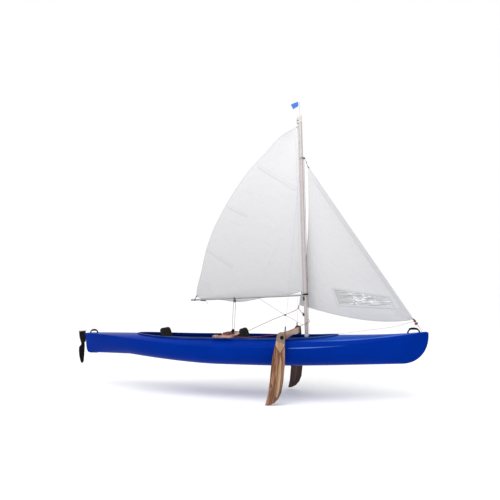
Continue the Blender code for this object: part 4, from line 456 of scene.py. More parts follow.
def jib_sheet_routes():
    """The working sheet to port, and the slack one round the mast's front to starboard."""
    radius = JIB_SHEET_DIAMETER / 2
    rest = THWART_TOP + 2 * GAP + radius
    start = JIB_CLEW + Vector((-0.0006, 0.0, -0.0032))
    knot = Vector((0.828, 0.160, 0.743))
    port = [start, knot, knot.lerp(Vector((0.030, 0.226, rest + 0.003)), 0.5),
            (0.034, 0.228, rest + 0.0055), (0.014, 0.220, rest + 0.0012),
            (-0.010, 0.2105, rest + 0.0006), (-0.060, 0.1895, rest + 0.0015),
            cleat_place("port", 0.045), cleat_place("port", 0.022), cleat_place("port", 0.0),
            cleat_place("port", -0.022), cleat_place("port", -0.040) - Vector((0, 0, 0.004)),
            (-0.229, 0.126, rest), (-0.247, 0.143, rest), (-0.240, 0.178, rest),
            (-0.200, 0.204, rest), (-0.140, 0.226, rest), (-0.105, 0.252, rest),
            (-0.118, 0.284, rest), (-0.160, 0.292, rest), (-0.205, 0.280, rest)]
    aside = Vector((0.0, -(JIB_SHEET_DIAMETER + 0.0015), 0.0))
    lip = THWART_UNDER + radius
    starboard = [start + aside, knot + aside + Vector((0.003, 0.0, 0.004)),
                 (0.862, 0.126, 0.702), around_mast(135, 0.056, 0.650)]
    for degrees, reach, height in ((105, 0.043, 0.624), (75, 0.0405, 0.604), (45, 0.0410, 0.588),
                                   (20, 0.0425, 0.577), (-5, 0.0430, 0.569),
                                   (-30, 0.0425, 0.561), (-60, 0.0405, 0.552),
                                   (-90, 0.0405, 0.543), (-120, 0.0440, 0.535)):
        starboard.append(around_mast(degrees, reach, height))
    starboard += [(0.889, -0.066, 0.512), (0.815, -0.150, 0.482),
                  (BEAM_X + 0.015, -0.215, BEAM_TOP + GAP + radius + 0.004),
                  (BEAM_X, -0.235, BEAM_TOP + GAP + radius + 0.0015),
                  (BEAM_X - 0.015, -0.252, BEAM_TOP + GAP + radius + 0.0005),
                  (0.640, -0.279, 0.428), (0.480, -0.284, 0.404), (0.320, -0.283, lip + 0.010),
                  (0.190, -0.281, lip + 0.004), (0.090, -0.276, lip + 0.007),
                  (0.030, -0.266, rest + 0.003), (-0.030, -0.252, rest + 0.001)]
    starboard += [cleat_place("starboard", 0.055) + Vector((0, 0, -0.003)),
                  cleat_place("starboard", 0.022), cleat_place("starboard", 0.0),
                  cleat_place("starboard", -0.022),
                  cleat_place("starboard", -0.040) - Vector((0, 0, 0.004)),
                  (-0.266, -0.188, rest), (-0.266, -0.160, rest), (-0.236, -0.136, rest)]
    turns, steps = 4.6, 60
    for step in range(steps + 1):
        share = step / steps
        angle = math.radians(178) - 2 * math.pi * turns * share
        reach = 0.062 - 0.022 * share + 0.007 * math.sin(4.1 * angle / turns + 1.3)
        height = rest + 0.0255 * share ** 1.1 + 0.0016 * (1 + math.sin(2.3 * angle)) * share
        starboard.append((-0.128 + 1.12 * reach * math.cos(angle),
                          -0.118 + 0.92 * reach * math.sin(angle), height))
    return port, starboard


def halyard_route():
    front = MAST_X + MAST_RADIUS + 0.0105
    top = HOUNDS_HEIGHT - 0.012
    start = stay_point(JIB_HEAD_Z) + STAY_AXIS * 0.0333
    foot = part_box("mast_step")[1].z + 2 * GAP
    return [start, (1.0285, 0, top - 0.052), (1.0165, 0, top - 0.013), (1.0105, 0, top - 0.002),
            (front + 0.0075, 0, top), (front + 0.0015, 0, top - 0.006), (front, 0, top - 0.016),
            (front, 0, top - 0.10), (front, 0, 1.8), (front, 0, 0.80), (front, 0, 0.34),
            (front - 0.001, 0, 0.22), (MAST_X + 0.0286, 0, foot)]


def furling_route():
    drum = stay_point(JIB_TACK_Z) - STAY_AXIS * 0.022
    end, rise = COAMING_END_X, COAMING_END_Z
    return [drum + Vector((-0.0089, -0.004, -0.0055)), (2.066, -0.004, 0.503),
            (1.774, -0.004, 0.463), (end + 0.106, -0.004, rise + 0.0095),
            (end + 0.016, -0.004, rise + 0.0015), (end - 0.014, -0.004, rise + 0.0005),
            (end - 0.032, -0.004, rise - 0.0145), (end - 0.038, -0.004, 0.360)]


STROP_CLEARANCE = 0.0022
VANG_BOOM = Vector((0.300, 0, boom_centre(0.300) - BOOM_RADIUS - 0.0020))
VANG_BLOCK = Vector((0.675, 0, 0.657))
VANG_FOOT = Vector((LUFF_X, 0, 0.524))


def make_ropes():
    route, low, top = mainsheet_route()
    sheet = rope("mainsheet_rope", "mainsheet", route, SHEET_DIAMETER, PALE_ROPE)
    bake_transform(sheet)
    port, starboard = jib_sheet_routes()
    for name, node, route, low in (("working_sheet", "jib_sheet_port", port, THWART_TOP + 0.02),
                                   ("slack_sheet", "jib_sheet_starboard", starboard, 0.655)):
        sheet = rope(name, node, route, JIB_SHEET_DIAMETER, RED_ROPE)
        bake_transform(sheet)
    rope("jib_halyard_rope", "jib_halyard", halyard_route(), 0.005, RED_ROPE, "canoe")
    rope("furling_rope", "furling_line", furling_route(), 0.003, RED_ROPE, "canoe")
    low = stay_point(JIB_TACK_Z) - STAY_AXIS * (0.038 + 2 * GAP)
    eye = STAY_EYE + Vector((0, 0, STROP_CLEARANCE))
    rope("strop_rope", "bow_strop", [eye, eye.lerp(low, 0.5), low], 0.006, STROP_ROPE,
         "canoe")
    rope("vang_rope", "vang_line", [VANG_BOOM, VANG_BOOM.lerp(VANG_BLOCK, 0.5), VANG_BLOCK,
                                    VANG_BLOCK.lerp(VANG_FOOT, 0.5), VANG_FOOT],
         0.004, VANG_ROPE, "boom_and_mainsail")


make_ropes()


def knot_points(centre, size, along):
    """An overhand knot pulled tight, as a closed loop."""
    turn = Vector(along).to_track_quat("Z", "Y")
    points = []
    for step in range(42):
        t = 2 * math.pi * step / 42
        place = Vector((math.sin(t) + 2 * math.sin(2 * t), math.cos(t) - 2 * math.cos(2 * t),
                        -1.6 * math.sin(3 * t))) * size / 3
        points.append(centre + turn @ place)
    return points


def make_knots():
    """Bowlines at the clew, lashings at the tack, and stoppers on the sheets and on the drum."""
    deck, stay = THWART_TOP + 0.0062, tuple(STAY_AXIS)
    for name, centre, size, along, radius, body in (
            ("clew_knot_upper", (0.8335, 0.158, 0.772), 0.0062, (0.1, 0.3, 1), 0.0028,
             "furling_jib"),
            ("clew_knot_lower", (0.828, 0.157, 0.741), 0.0075, (0.3, 0.1, 1), 0.0030,
             "furling_jib"),
            ("tack_lashing", stay_point(JIB_TACK_Z + 0.002), 0.0085, stay, 0.0030, "furling_jib"),
            ("halyard_knot", (1.0330, 0, 2.7335), 0.0062, stay, 0.0026, "canoe"),
            ("strop_knot", stay_point(0.5480), 0.0185, stay, 0.0058, "canoe"),
            ("head_lashing", stay_point(JIB_HEAD_Z + 0.034), 0.0042, stay, 0.0016, "furling_jib"),
            ("drum_stopper", (2.352, -0.004, 0.5665), 0.0046, (1, 0, 0.3), 0.0016, "furling_jib"),
            ("sheet_stopper_port", (-0.209, 0.279, deck), 0.0068, (1, 0.4, 0), 0.0029, "canoe"),
            ("sheet_stopper_starboard", (-0.112, -0.090, deck), 0.0068, (1, 0.4, 0), 0.0029,
             "canoe")):
        points = knot_points(Vector(centre), size, along)
        new_piece(name, sweep(points, radius, 8, closed=True), RED_ROPE, body, 80.0)


make_knots()


def make_drum_turns():
    """The furling line's turns on the drum."""
    low, turns = stay_point(JIB_TACK_Z - 0.0310), 5
    side = Vector((0, 1, 0))
    other = STAY_AXIS.cross(side)
    points = []
    for step in range(turns * 18 + 1):
        angle = 2 * math.pi * step / 18
        reach = 0.0122 + 0.0010 * math.sin(0.7 * angle)
        points.append(low + STAY_AXIS * (0.0185 * step / (turns * 18))
                      + side * reach * math.cos(angle) + other * reach * math.sin(angle))
    new_piece("drum_turns", sweep(points, 0.0034, 8), RED_ROPE, "furling_jib", 80.0)


make_drum_turns()


# Hull
# One moulding of deep blue polyethylene, open at the top, with a full bow and a narrow stern.
# The deck and the cockpit's rim are separate mouldings in the same plastic, bonded to it.

HULL_LENGTH = 5.0
HALF_BEAM = 0.425
TRANSOM_HALF_WIDTH = 0.045
HULL_WALL = 0.005
SHEER_LOW = 0.262
SHEER_BOW_RISE = 0.176
SHEER_STERN_RISE = 0.127
KEEL_PLANK_SHARE = 0.14
ROCKER_BOW = 0.022
ROCKER_STERN = 0.0547
FLAT_FORE_END = 0.50
FLAT_AFT_END = -0.26
SKEG_START = -1.68
STEM_LENGTH = 0.35
STEM_TOP = 0.430
STEM_POWER = 2.15
HULL_STATIONS = 120
HULL_POINTS = 22


def make_plastic_effect():
    """Moulded plastic: a fine pebbled grain, slow colour drift and scuffed patches."""
    group, given = new_effect("moulded_plastic", {
        "Colour": colour(2, 52, 150), "Roughness": 0.34, "Grain size": 600.0,
        "Scuff colour": colour(120, 140, 180), "Scuffs": 0.3})
    place = coordinates(group, "Object")
    grain = place.node("ShaderNodeTexVoronoi", {"Vector": place, "Scale": given["Grain size"]},
                       "Distance", feature="SMOOTH_F1")
    drift = place.noise(2.6, 4.0).ramp(0.3, 0.7, 0.0, 0.16)
    mottle = place.noise(38.0, 5.0)
    scratch = place.mapped((1.6, 90.0, 90.0)).noise(1.3, 3.0).ramp(0.60, 0.72, 0.0, 1.0)
    wear_and_highlight = mottle.ramp(0.45, 0.62, 0.0, 1.0) * scratch * given["Scuffs"]
    shade = given["Colour"].mixed(drift, (0.0, 0.0, 0.0, 1.0)).mixed(wear_and_highlight, given["Scuff colour"])
    rough = mottle * 0.10 + (given["Roughness"] - 0.05) + wear_and_highlight * 0.35
    return put_out(group, shade, rough, scratch * -0.25 + grain)


PLASTIC = make_plastic_effect()


def make_hull_effect():
    """The same plastic, with painted highlights along its seam, shoulder and rim wall, and painted
    light on the foredeck.
    """
    group, given = new_effect("hull_plastic", {
        "Colour": colour(2, 52, 150), "Roughness": 0.34, "Painted highlight colour": colour(92, 128, 206),
        "Painted rim highlight": 0.0})
    shade, rough, relief = use_effect(group, PLASTIC, {
        "Colour": given["Colour"], "Roughness": given["Roughness"], "Grain size": 420.0,
        "Scuffs": 0.05})
    place = coordinates(group, "Object")
    along, side, height = place.parts()
    sheer = (abs(along) / (HULL_LENGTH / 2)) ** 2.9 * SHEER_BOW_RISE + SHEER_LOW
    # seam: a raised bump along the sheer seam forward of the beam, with a painted highlight on it.
    seam = abs(height - sheer + 0.009).ramp(0.002, 0.009, 1.0, 0.0)
    seam = seam * along.ramp(0.78, 0.84, 0.0, 0.9) * along.ramp(0.95, 1.55, 1.0, 0.0)
    # edge: a painted highlight along the foredeck's rounded shoulder.
    off = height - ((along - 1.0).maths("MAXIMUM", 0.0) ** 2.1 * 0.0508 + 0.341)
    edge = abs(off).ramp(0.002, 0.008, 1.0, 0.0) * along.ramp(0.86, 1.45, 0.0, 0.55)
    # fore: painted light, the foredeck's top above its shoulder made paler as if lit from above.
    fore = off.ramp(0.0, 0.006, 0.0, 0.32) * along.ramp(0.95, 1.35, 0.0, 1.0)
    facing = Value(group, add_node(group, "ShaderNodeNewGeometry").outputs["Normal"]).parts()
    # lip: a painted highlight on steep faces that look outwards, for the rim's outer wall.
    lip = given["Painted rim highlight"] * abs(facing[2]).ramp(0.45, 0.8, 0.45, 0.0)
    lip = lip * (facing[1] * side).maths("GREATER_THAN", 0.0)
    # The painted highlights, broken up by noise, blend towards the painted highlight colour.
    wear_and_highlight = seam.maths("MAXIMUM", edge).maths("MAXIMUM", lip)
    wear_and_highlight = wear_and_highlight * place.noise(6.0).ramp(0.3, 0.65, 0.6, 1.0)
    shade = shade.mixed(fore, colour(38, 92, 172)).mixed(wear_and_highlight, given["Painted highlight colour"])
    return put_out(group, shade, wear_and_highlight * 0.2 + rough, seam * 6.0 + relief)


HULL_PLASTIC = make_hull_effect()


def hull_material(name, shade, lip):
    """Glossy blue plastic; lip is how strong the painted highlight on its outer wall is."""
    return new_material(name, HULL_PLASTIC, {"Colour": shade, "Roughness": 0.31, "Painted rim highlight": lip},
                        0.00012, 0.03, Specular_Tint=(0.2, 0.45, 1.0, 1.0))


HULL_BLUE = hull_material("blue_polyethylene", colour(0, 39, 134), 0.0)


def half_breadth(x):
    share = abs(x) / (HULL_LENGTH / 2)
    if x > 0:
        return max(HALF_BEAM * (1 - share ** 2), 0.004)
    return TRANSOM_HALF_WIDTH + (HALF_BEAM - TRANSOM_HALF_WIDTH) * (1 - share ** 2)


def keel_height(x):
    stem = HULL_LENGTH / 2 - STEM_LENGTH
    if x > stem:
        low = ROCKER_BOW * (stem - FLAT_FORE_END) ** 1.5
        share = min((x - stem) / STEM_LENGTH, 1.0)
        rise = 1 - (1 - share ** STEM_POWER) ** (1 / STEM_POWER)
        return low + (STEM_TOP - low) * rise
    if x > FLAT_FORE_END:
        return ROCKER_BOW * (x - FLAT_FORE_END) ** 1.5
    if x > FLAT_AFT_END:
        return 0.0
    if x > SKEG_START:
        return ROCKER_STERN * (FLAT_AFT_END - x) ** 1.5
    return ROCKER_STERN * (FLAT_AFT_END - SKEG_START) ** 1.5 + 1.45 * max(0.0, -x - 2.480)


def sheer_height(x):
    share = abs(x) / (HULL_LENGTH / 2)
    if x > 0:
        return SHEER_LOW + SHEER_BOW_RISE * share ** 2.9
    return SHEER_LOW + SHEER_STERN_RISE * math.sin(math.pi / 2 * share) ** 2.6


def hull_section(x, inset):
    """One side of a section, from the sheer down to the keel plank's edge."""
    share = 2 * x / HULL_LENGTH
    power = 1.7 + 1.3 * (1 - share ** 2)
    breadth = max(half_breadth(x) - inset, 0.0015)
    top, bottom = sheer_height(x) - GAP / 2, keel_height(x) + inset
    plank = KEEL_PLANK_SHARE * breadth
    places = []
    for index in range(HULL_POINTS):
        angle = math.pi / 2 * index / (HULL_POINTS - 1)
        y = plank + (breadth - plank) * max(math.cos(angle), 0.0) ** (2 / power)
        z = top - (top - bottom) * math.sin(angle) ** (2 / power)
        places.append((y, min(z, top)))
    return places


def bridge(data, near, far):
    """Quads between two rows of vertices."""
    for index in range(len(near) - 1):
        corners = []
        for vert in (near[index], near[index + 1], far[index + 1], far[index]):
            if vert not in corners:
                corners.append(vert)
        if len(corners) > 2:
            data.faces.new(corners)


def skin(data, rows, around=False, capped=False):
    """Faces between rows of vertices, closed around each row and capped at the ends if asked."""
    for near, far in zip(rows, rows[1:]):
        if around:
            near, far = near + near[:1], far + far[:1]
        bridge(data, near, far)
    if capped:
        for row in (rows[0], rows[-1]):
            data.faces.new(row)


def stations(start, end):
    """Places along the boat, closer together towards both ends."""
    return [(start + end) / 2 - (end - start) / 2 * math.cos(math.pi * index / HULL_STATIONS)
            for index in range(HULL_STATIONS + 1)]


def mirrored(side):
    """An outline in (y, z) with its other half added."""
    return side + [(-y, z) for y, z in reversed(side)]


def make_hull():
    data = bmesh.new()
    shells = []
    ends = ((-HULL_LENGTH / 2, HULL_LENGTH / 2, 0.0),
            (-HULL_LENGTH / 2 + 0.012, HULL_LENGTH / 2 - 0.060, HULL_WALL))
    for start, end, inset in ends:
        rows = [[data.verts.new((x, y, z)) for y, z in mirrored(hull_section(x, inset))]
                for x in stations(start, end)]
        skin(data, rows, capped=True)
        shells.append(rows)
    for side in (0, -1):
        bridge(data, [row[side] for row in shells[0]], [row[side] for row in shells[1]])
    for end in (0, -1):
        data.faces.new((shells[0][end][0], shells[0][end][-1], shells[1][end][-1],
                        shells[1][end][0]))
    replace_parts(new_piece("hull_moulding", data, HULL_BLUE, "canoe", 50.0),
                "hull_shell")


make_hull()


# Deck
# The same blue plastic, crowned across and cut out for a long cockpit.
# It meets the hull at the sheer, and is fixed to the rim at the cockpit's edge.

CROWN_MID = 0.396
CROWN_STERN = 0.392
CROWN_BOW_RISE = 0.058
DECK_ROUNDNESS = 0.8
COCKPIT_MIDDLE = -0.104
COCKPIT_HALF_LENGTH = 1.470
COCKPIT_HALF_WIDTH = 0.272


def deck_height(x, y, inset=0.0):
    share = min(abs(y) / (half_breadth(x) - inset), 1.0)
    low = sheer_height(x)
    along = abs(x) / (HULL_LENGTH / 2)
    crown = CROWN_MID + (CROWN_BOW_RISE * along ** 5.6 if x > 0
                         else (CROWN_STERN - CROWN_MID) * along)
    high = max(crown - inset, low - inset)
    return low + (high - low) * (1 - share ** 2) ** DECK_ROUNDNESS


def both_sides(half):
    """An outline in plan, from its bow end down the port side and back to starboard."""
    return half[::-1] + [(x, -width) for x, width in half]


def cockpit_edge(count=HULL_STATIONS):
    """The cockpit's outline, from the bow end down the port side and back."""
    half = []
    for index in range(count + 1):
        share = -math.cos(math.pi * index / count)
        width = COCKPIT_HALF_WIDTH * math.sqrt(1 - abs(0.998 * share) ** 2.8)
        half.append((COCKPIT_MIDDLE + COCKPIT_HALF_LENGTH * share, width))
    return both_sides(half)


def closed_strip(data, loops):
    """Quads between closed loops, with the last loop joined to the first."""
    rows = [[data.verts.new(place) for place in loop] for loop in loops]
    for near, far in zip(rows, rows[1:] + rows[:1]):
        for index in range(len(near)):
            after = (index + 1) % len(near)
            data.faces.new((near[index], near[after], far[after], far[index]))


def make_deck():
    edge = cockpit_edge()
    sheers = {}
    for inset, start, end in ((0.0, -2.5, 2.5), (HULL_WALL, -2.488, 2.44)):
        half = [(x, max(half_breadth(x) - inset, 0.001)) for x in stations(start, end)]
        sheers[inset] = both_sides(half)
    loops = []
    top_shares = [0.0, 0.08, 0.18, 0.3, 0.42, 0.54, 0.65, 0.75, 0.83, 0.9, 0.95, 0.98, 1.0]
    for inset, shares in ((0.0, top_shares), (HULL_WALL, (1.0, 0.85, 0.6, 0.3, 0.0))):
        for share in shares:
            loop = []
            for (ex, ey), (sx, sy) in zip(edge, sheers[inset]):
                x, y = ex + (sx - ex) * share, ey + (sy - ey) * share
                loop.append((x, y, deck_height(x, y, inset) + GAP / 2))
            loops.append(loop)
    data = bmesh.new()
    closed_strip(data, loops)
    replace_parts(new_piece("deck_moulding", data, HULL_BLUE, "canoe", 50.0),
                "deck_shell")


make_deck()


# Cockpit rim
# A rolled lip of the same plastic that stands a little above the deck all round the cockpit, in a
# darker copy that is painted shade.
# A short flange hangs from it inside the opening and is bonded to the deck's cut edge.

# A darker copy of the hull's blue as painted shade on the rim, with the painted highlight on its
# outer wall at full strength.
SHADED_RIM_BLUE = hull_material("rim_polyethylene_shaded", colour(0, 24, 92), 1.0)


def make_rim():
    edge = [Vector((x, y, 0)) for x, y in cockpit_edge()]
    outwards, lifts = [], []
    for index, place in enumerate(edge):
        along = (edge[(index + 1) % len(edge)] - edge[index - 1]).normalized()
        out = Vector((along.y, -along.x, 0))
        outwards.append(-out if out.dot(place - Vector((COCKPIT_MIDDLE, 0, 0))) < 0 else out)
        share = (place.x - COCKPIT_MIDDLE) / COCKPIT_HALF_LENGTH
        lifts.append(0.0265 - 0.0145 * share ** 2)
    profile = [(-0.0063, -0.020, 0), (-0.0003, -0.020, 0), (-0.0003, -0.006, 1),
               (0.004, -0.0066, 1), (0.013, -0.0074, 1), (0.0185, -0.0080, 1),
               (0.0212, -0.0068, 1), (0.0220, -0.0048, 1), (0.0212, -0.0028, 1),
               (0.0186, -0.0016, 1), (0.012, -0.0008, 1), (0.002, 0.0, 1), (-0.003, -0.0004, 1),
               (-0.0056, -0.0022, 1), (-0.0063, -0.005, 1)]
    loops = []
    for out, up, with_lip in profile:
        loop = []
        for place, outward, lift in zip(edge, outwards, lifts):
            height = deck_height(place.x, place.y) + up + lift * with_lip
            loop.append(place + outward * out + Vector((0, 0, height)))
        loops.append(loop)
    data = bmesh.new()
    closed_strip(data, loops)
    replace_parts(new_piece("cockpit_rim", data, SHADED_RIM_BLUE, "canoe", 50.0),
                "cockpit_coaming")


make_rim()


# End fittings
# Carrying handles of black plastic bolted to the deck's ends, a skid strip under the stern and
# a stainless eye at the bow for the jib's strop.

def small_moulding(name, shade, scuffed, roughness=0.48, specular=0.1, scuffs=0.2, grain=900.0):
    values = {"Colour": shade, "Roughness": roughness, "Grain size": grain, "Scuffs": scuffs,
              "Scuff colour": scuffed}
    return new_material(name, PLASTIC, values, 0.00010, specular)


BLACK_PLASTIC = small_moulding("black_moulding", colour(10, 10, 12), colour(60, 62, 66),
                               specular=0.08, scuffs=0.25)


def make_metal_effect():
    """Drawn and polished metal: fine lines along one axis, dull spots and finger marks."""
    group, given = new_effect("drawn_metal", {
        "Colour": colour(190, 192, 195), "Roughness": 0.30, "Stretch": (240.0, 240.0, 6.0)})
    place = coordinates(group, "Object")
    line = place.vector("MULTIPLY", given["Stretch"]).noise(6.0, 3.0)
    mark = place.noise(21.0, 6.0).ramp(0.42, 0.70, 0.0, 1.0)
    shade = given["Colour"].mixed(line.ramp(0.3, 0.7, 0.0, 0.22), (0.12, 0.12, 0.13, 1.0))
    shade = shade.mixed(mark * 0.18, (0.25, 0.25, 0.26, 1.0))
    return put_out(group, shade, mark * 0.20 + given["Roughness"], line)


METAL = make_metal_effect()


def metal(name, shade, roughness, metallic, bump=0.00002, specular=0.5):
    return new_material(name, METAL, {"Colour": shade, "Roughness": roughness}, bump, specular,
                        Metallic=metallic)


STEEL = metal("stainless", colour(200, 202, 205), 0.24, 1.0)


def dress(material, *nodes):
    """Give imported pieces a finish."""
    for name in nodes:
        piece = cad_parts[name]
        if not piece.material_slots:
            piece.data.materials.append(material)
        for part in piece.material_slots:
            part.material = material


dress(BLACK_PLASTIC, "bow_handle", "stern_handle", "stern_skid")


def make_grips():
    """Rubber sleeves, thickest in the middle, over the handles' arches."""
    for name, aft, fore, rise in (("bow_handle", 2.256, 2.392, 0.046),
                                  ("stern_handle", -2.440, -2.315, 0.042)):
        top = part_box(name)[1].z - 0.009
        span = fore - aft
        route = [(aft + share * span, 0, top - drop * rise)
                 for share, drop in ((0.10, 0.26), (0.24, 0.07), (0.50, 0.0), (0.76, 0.07),
                                     (0.90, 0.26))]
        points = even_points(smooth_line(route), 28)
        radii = [0.0105 + 0.0040 * math.sin(math.pi * step / 27) for step in range(28)]
        new_piece(name + "_sleeve", sweep(points, radii, 14), BLACK_PLASTIC, "canoe",
                  50.0)


make_grips()
dress(STEEL, "bow_eye")


# Mast
# A grey anodised aluminium tube with a sail track up its back, stepped on the keel through the
# foredeck; a pin at the head carries a light blue wind flag.

ALLOY = metal("anodised_alloy", colour(178, 171, 170), 0.50, 0.30, specular=0.3)
PALE_PLASTIC = small_moulding("pale_moulding", colour(176, 184, 214), colour(120, 124, 140), 0.45)
dress(ALLOY, "mast_tube", "mast_head", "hounds_bracket", "gooseneck")
dress(PALE_PLASTIC, "mast_collar")
dress(BLACK_PLASTIC, "mast_step", "halyard_cleat", "vang_cleat")


def make_block(name, body, centre, half_gap, nose, depth):
    """The two cheeks of a small block."""
    data = bmesh.new()
    for side in (-1, 1):
        turn = Matrix.Translation(centre + Vector((0, half_gap * side, 0)))
        turn = turn @ Matrix.Rotation(math.pi / 2, 4, "X") @ Matrix.Diagonal((1, 1, -side, 1))
        bmesh.ops.create_cone(data, cap_ends=True, segments=24, radius1=0.0125, radius2=nose,
                              depth=depth, matrix=turn)
    new_piece(name, data, BLACK_PLASTIC, body, 30.0)


def make_mast_fittings():
    """A rubber collar over the gooseneck, sheaves at the head and a small block at the hounds."""
    boot = [(0.0248, 0.0220), (0.0300, 0.0214), (0.0420, 0.0090), (0.0435, 0.0030),
            (0.0427, 0.0026), (0.0362, 0.0060), (0.0248, 0.0125)]
    data = bmesh.new()
    skin(data, [[data.verts.new(around_mast(-140 + 280 * step / 48, reach, BOOM_HEIGHT + height))
                 for reach, height in boot] for step in range(49)], around=True, capped=True)
    new_piece("gooseneck_boot", data, BLACK_PLASTIC, "canoe", 30.0)
    for name, body, spots in (("head_sheave", "canoe", ((-0.031, -0.0108, 3.334, 0.0085),
                                                        (-0.033, -0.0085, 3.293, 0.0070))),
                              ("head_shackle", "boom_and_mainsail",
                               ((-0.048, -0.0040, 3.244, 0.0062),))):
        data = bmesh.new()
        for x, y, z, radius in spots:
            turn = Matrix.Translation((MAST_X + x, y, z)) @ Matrix.Diagonal((1, 0.5, 1, 1))
            bmesh.ops.create_uvsphere(data, u_segments=16, v_segments=10, radius=radius,
                                      matrix=turn)
        new_piece(name, data, BLACK_PLASTIC, body, 60.0)
    make_block("hounds_sheave", "canoe", Vector((MAST_X + 0.0400, 0, HOUNDS_HEIGHT - 0.0080)),
               0.0056, 0.0110, 0.0040)


make_mast_fittings()


def make_weave_effect():
    """Plain weave from UV in metres, with soft creases, faint handling marks and painted shade that
    darkens it towards the foot.
    """
    group, given = new_effect("woven_cloth", {
        "Colour": colour(228, 229, 232), "Threads": 900.0, "Relief": 0.5, "Roughness": 0.62,
        "Crease": 0.3, "Soil": 0.08, "Painted foot shade": 0.0})
    place = coordinates(group, "UV")
    across, up = place.parts()[:2]
    warp, weft = [(part * given["Threads"]).maths("SINE") for part in (across, up)]
    thread = warp * weft * 0.5 + 0.5
    fine = place.noise(46.0, 4.0)
    soil = fine.ramp(0.4, 0.75, 0.0, 1.0) * given["Soil"]
    # Painted shade: the cloth darkens towards the bottom, as far as the foot's share asks.
    low = up.ramp(0.8, 2.7, 1.0, 0.0) * given["Painted foot shade"]
    shade = given["Colour"].mixed(thread * 0.06, (0.25, 0.25, 0.27, 1.0))
    shade = shade.mixed(soil, (0.22, 0.21, 0.19, 1.0)).mixed(low, (0.22, 0.22, 0.23, 1.0))
    height = place.noise(5.0, 3.0, 1.2) * (given["Crease"] * 20.0) + thread * given["Relief"]
    return put_out(group, shade, fine * 0.16 + given["Roughness"], height)


WEAVE = make_weave_effect()


def flag_material(name, shade, light):
    values = {"Colour": shade, "Soil": 0.02, "Crease": 0.1}
    return new_material(name, WEAVE, values, 0.0002, light=light, Sheen_Weight=0.3)


FLAG_CLOTH = flag_material("flag_nylon", colour(44, 100, 188), 0.35)
FLAG_TRIM = flag_material("flag_trim", colour(214, 214, 218), 0.5)


def sewn_piece(name, data, material, body, sharp=50.0, turned=True):
    """A piece of cloth, with UVs in metres along and up."""
    layer = data.loops.layers.uv.new("UVMap")
    for face in data.faces:
        for loop in face.loops:
            loop[layer].uv = (loop.vert.co.x, loop.vert.co.z)
    return new_piece(name, data, material, body, sharp, turned)


def make_flag():
    """Four-sided flag that droops a little, with a sewn sleeve that turns on the pin."""
    low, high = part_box("wind_pennant")
    staff_x = MAST_X - 0.006
    data = bmesh.new()
    rows = []
    top_fore, top_aft = Vector((0.9400, 0, 3.606)), Vector((0.832, 0, 3.578))
    low_fore, low_aft = Vector((0.9440, 0, 3.541)), Vector((0.870, 0, 3.506))
    for across in range(15):
        share = across / 14
        column = []
        for step in range(9):
            place = low_fore.lerp(low_aft, share).lerp(top_fore.lerp(top_aft, share), step / 8)
            place.y += 0.007 * math.sin(7.5 * share + 0.9 * step / 8) * share
            column.append(data.verts.new(place))
        rows.append(column)
    skin(data, rows[::-1])
    flag = sewn_piece("flag_cloth", data, FLAG_CLOTH, "pennant_body", 40.0, False)
    staff = [Vector((staff_x, 0, low.z)), Vector((staff_x, 0, high.z))]
    sleeve = new_piece("flag_sleeve", sweep(even_points(staff, 12), 0.0044, 14), FLAG_TRIM,
                       "pennant_body")
    tabs = bmesh.new()
    for height in (0.036, 0.066):
        skin(tabs, [[tabs.verts.new((x, side, low.z + height + up)) for side, up in
                     ((-0.0012, -0.004), (-0.0012, 0.004), (0.0012, 0.004), (0.0012, -0.004))]
                    for x in (staff_x - 0.004, staff_x - 0.010, 0.9380)], around=True)
    tabs = sewn_piece("flag_tabs", tabs, FLAG_TRIM, "pennant_body", sharp=40.0)
    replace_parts(flag, "wind_pennant")


make_flag()


# Standing rigging
# Stainless wire shrouds run from the hounds to the deck's edge, each with a black turnbuckle.
# Forward, the jib's wire luff and the strop of rope below its drum hold the mast up.

dress(STEEL, "shroud_starboard", "shroud_port")
dress(BLACK_PLASTIC, "turnbuckle_starboard", "turnbuckle_port")


# Leeboards
# Two varnished wooden boards hang on studs outside a cross beam; a lobed knob clamps each one.
# The beam stands on edge across the cockpit, held by metal hooks under the rim.

def make_wood_effect():
    """Varnished plank: long streaks, pores and slow changes of tone."""
    group, given = new_effect("varnished_plank", {
        "Light": colour(164, 118, 86), "Dark": colour(124, 82, 57), "Figure": 1.0,
        "Direction": (5.0, 5.0, 0.55), "Roughness": 0.33, "Ends": 0.0})
    place = coordinates(group, "Object")
    bent = place.noise(1.4, output="Color").vector("MULTIPLY", (0.16, 0.16, 0.16))
    drawn = place.vector("ADD", bent).vector("MULTIPLY", given["Direction"])
    rings = drawn.noise(4.5, 3.0, 0.4).ramp(0.36, 0.64, 0.0, 1.0)
    pores = drawn.noise(42.0, 3.0)
    reach = abs(place.parts()[1]).ramp(0.30, 0.42, 0.0, 1.0)
    shade = given["Light"].mixed(rings * given["Figure"], given["Dark"])
    shade = shade.mixed(pores.ramp(0.48, 0.72, 0.0, 0.30), (0.06, 0.03, 0.015, 1.0))
    shade = shade.mixed(reach * given["Ends"], colour(70, 45, 30))
    return put_out(group, shade, pores * 0.14 + given["Roughness"], pores)


WOOD = make_wood_effect()
BOARD_HANG = (0.754, 0.0, 0.4096)


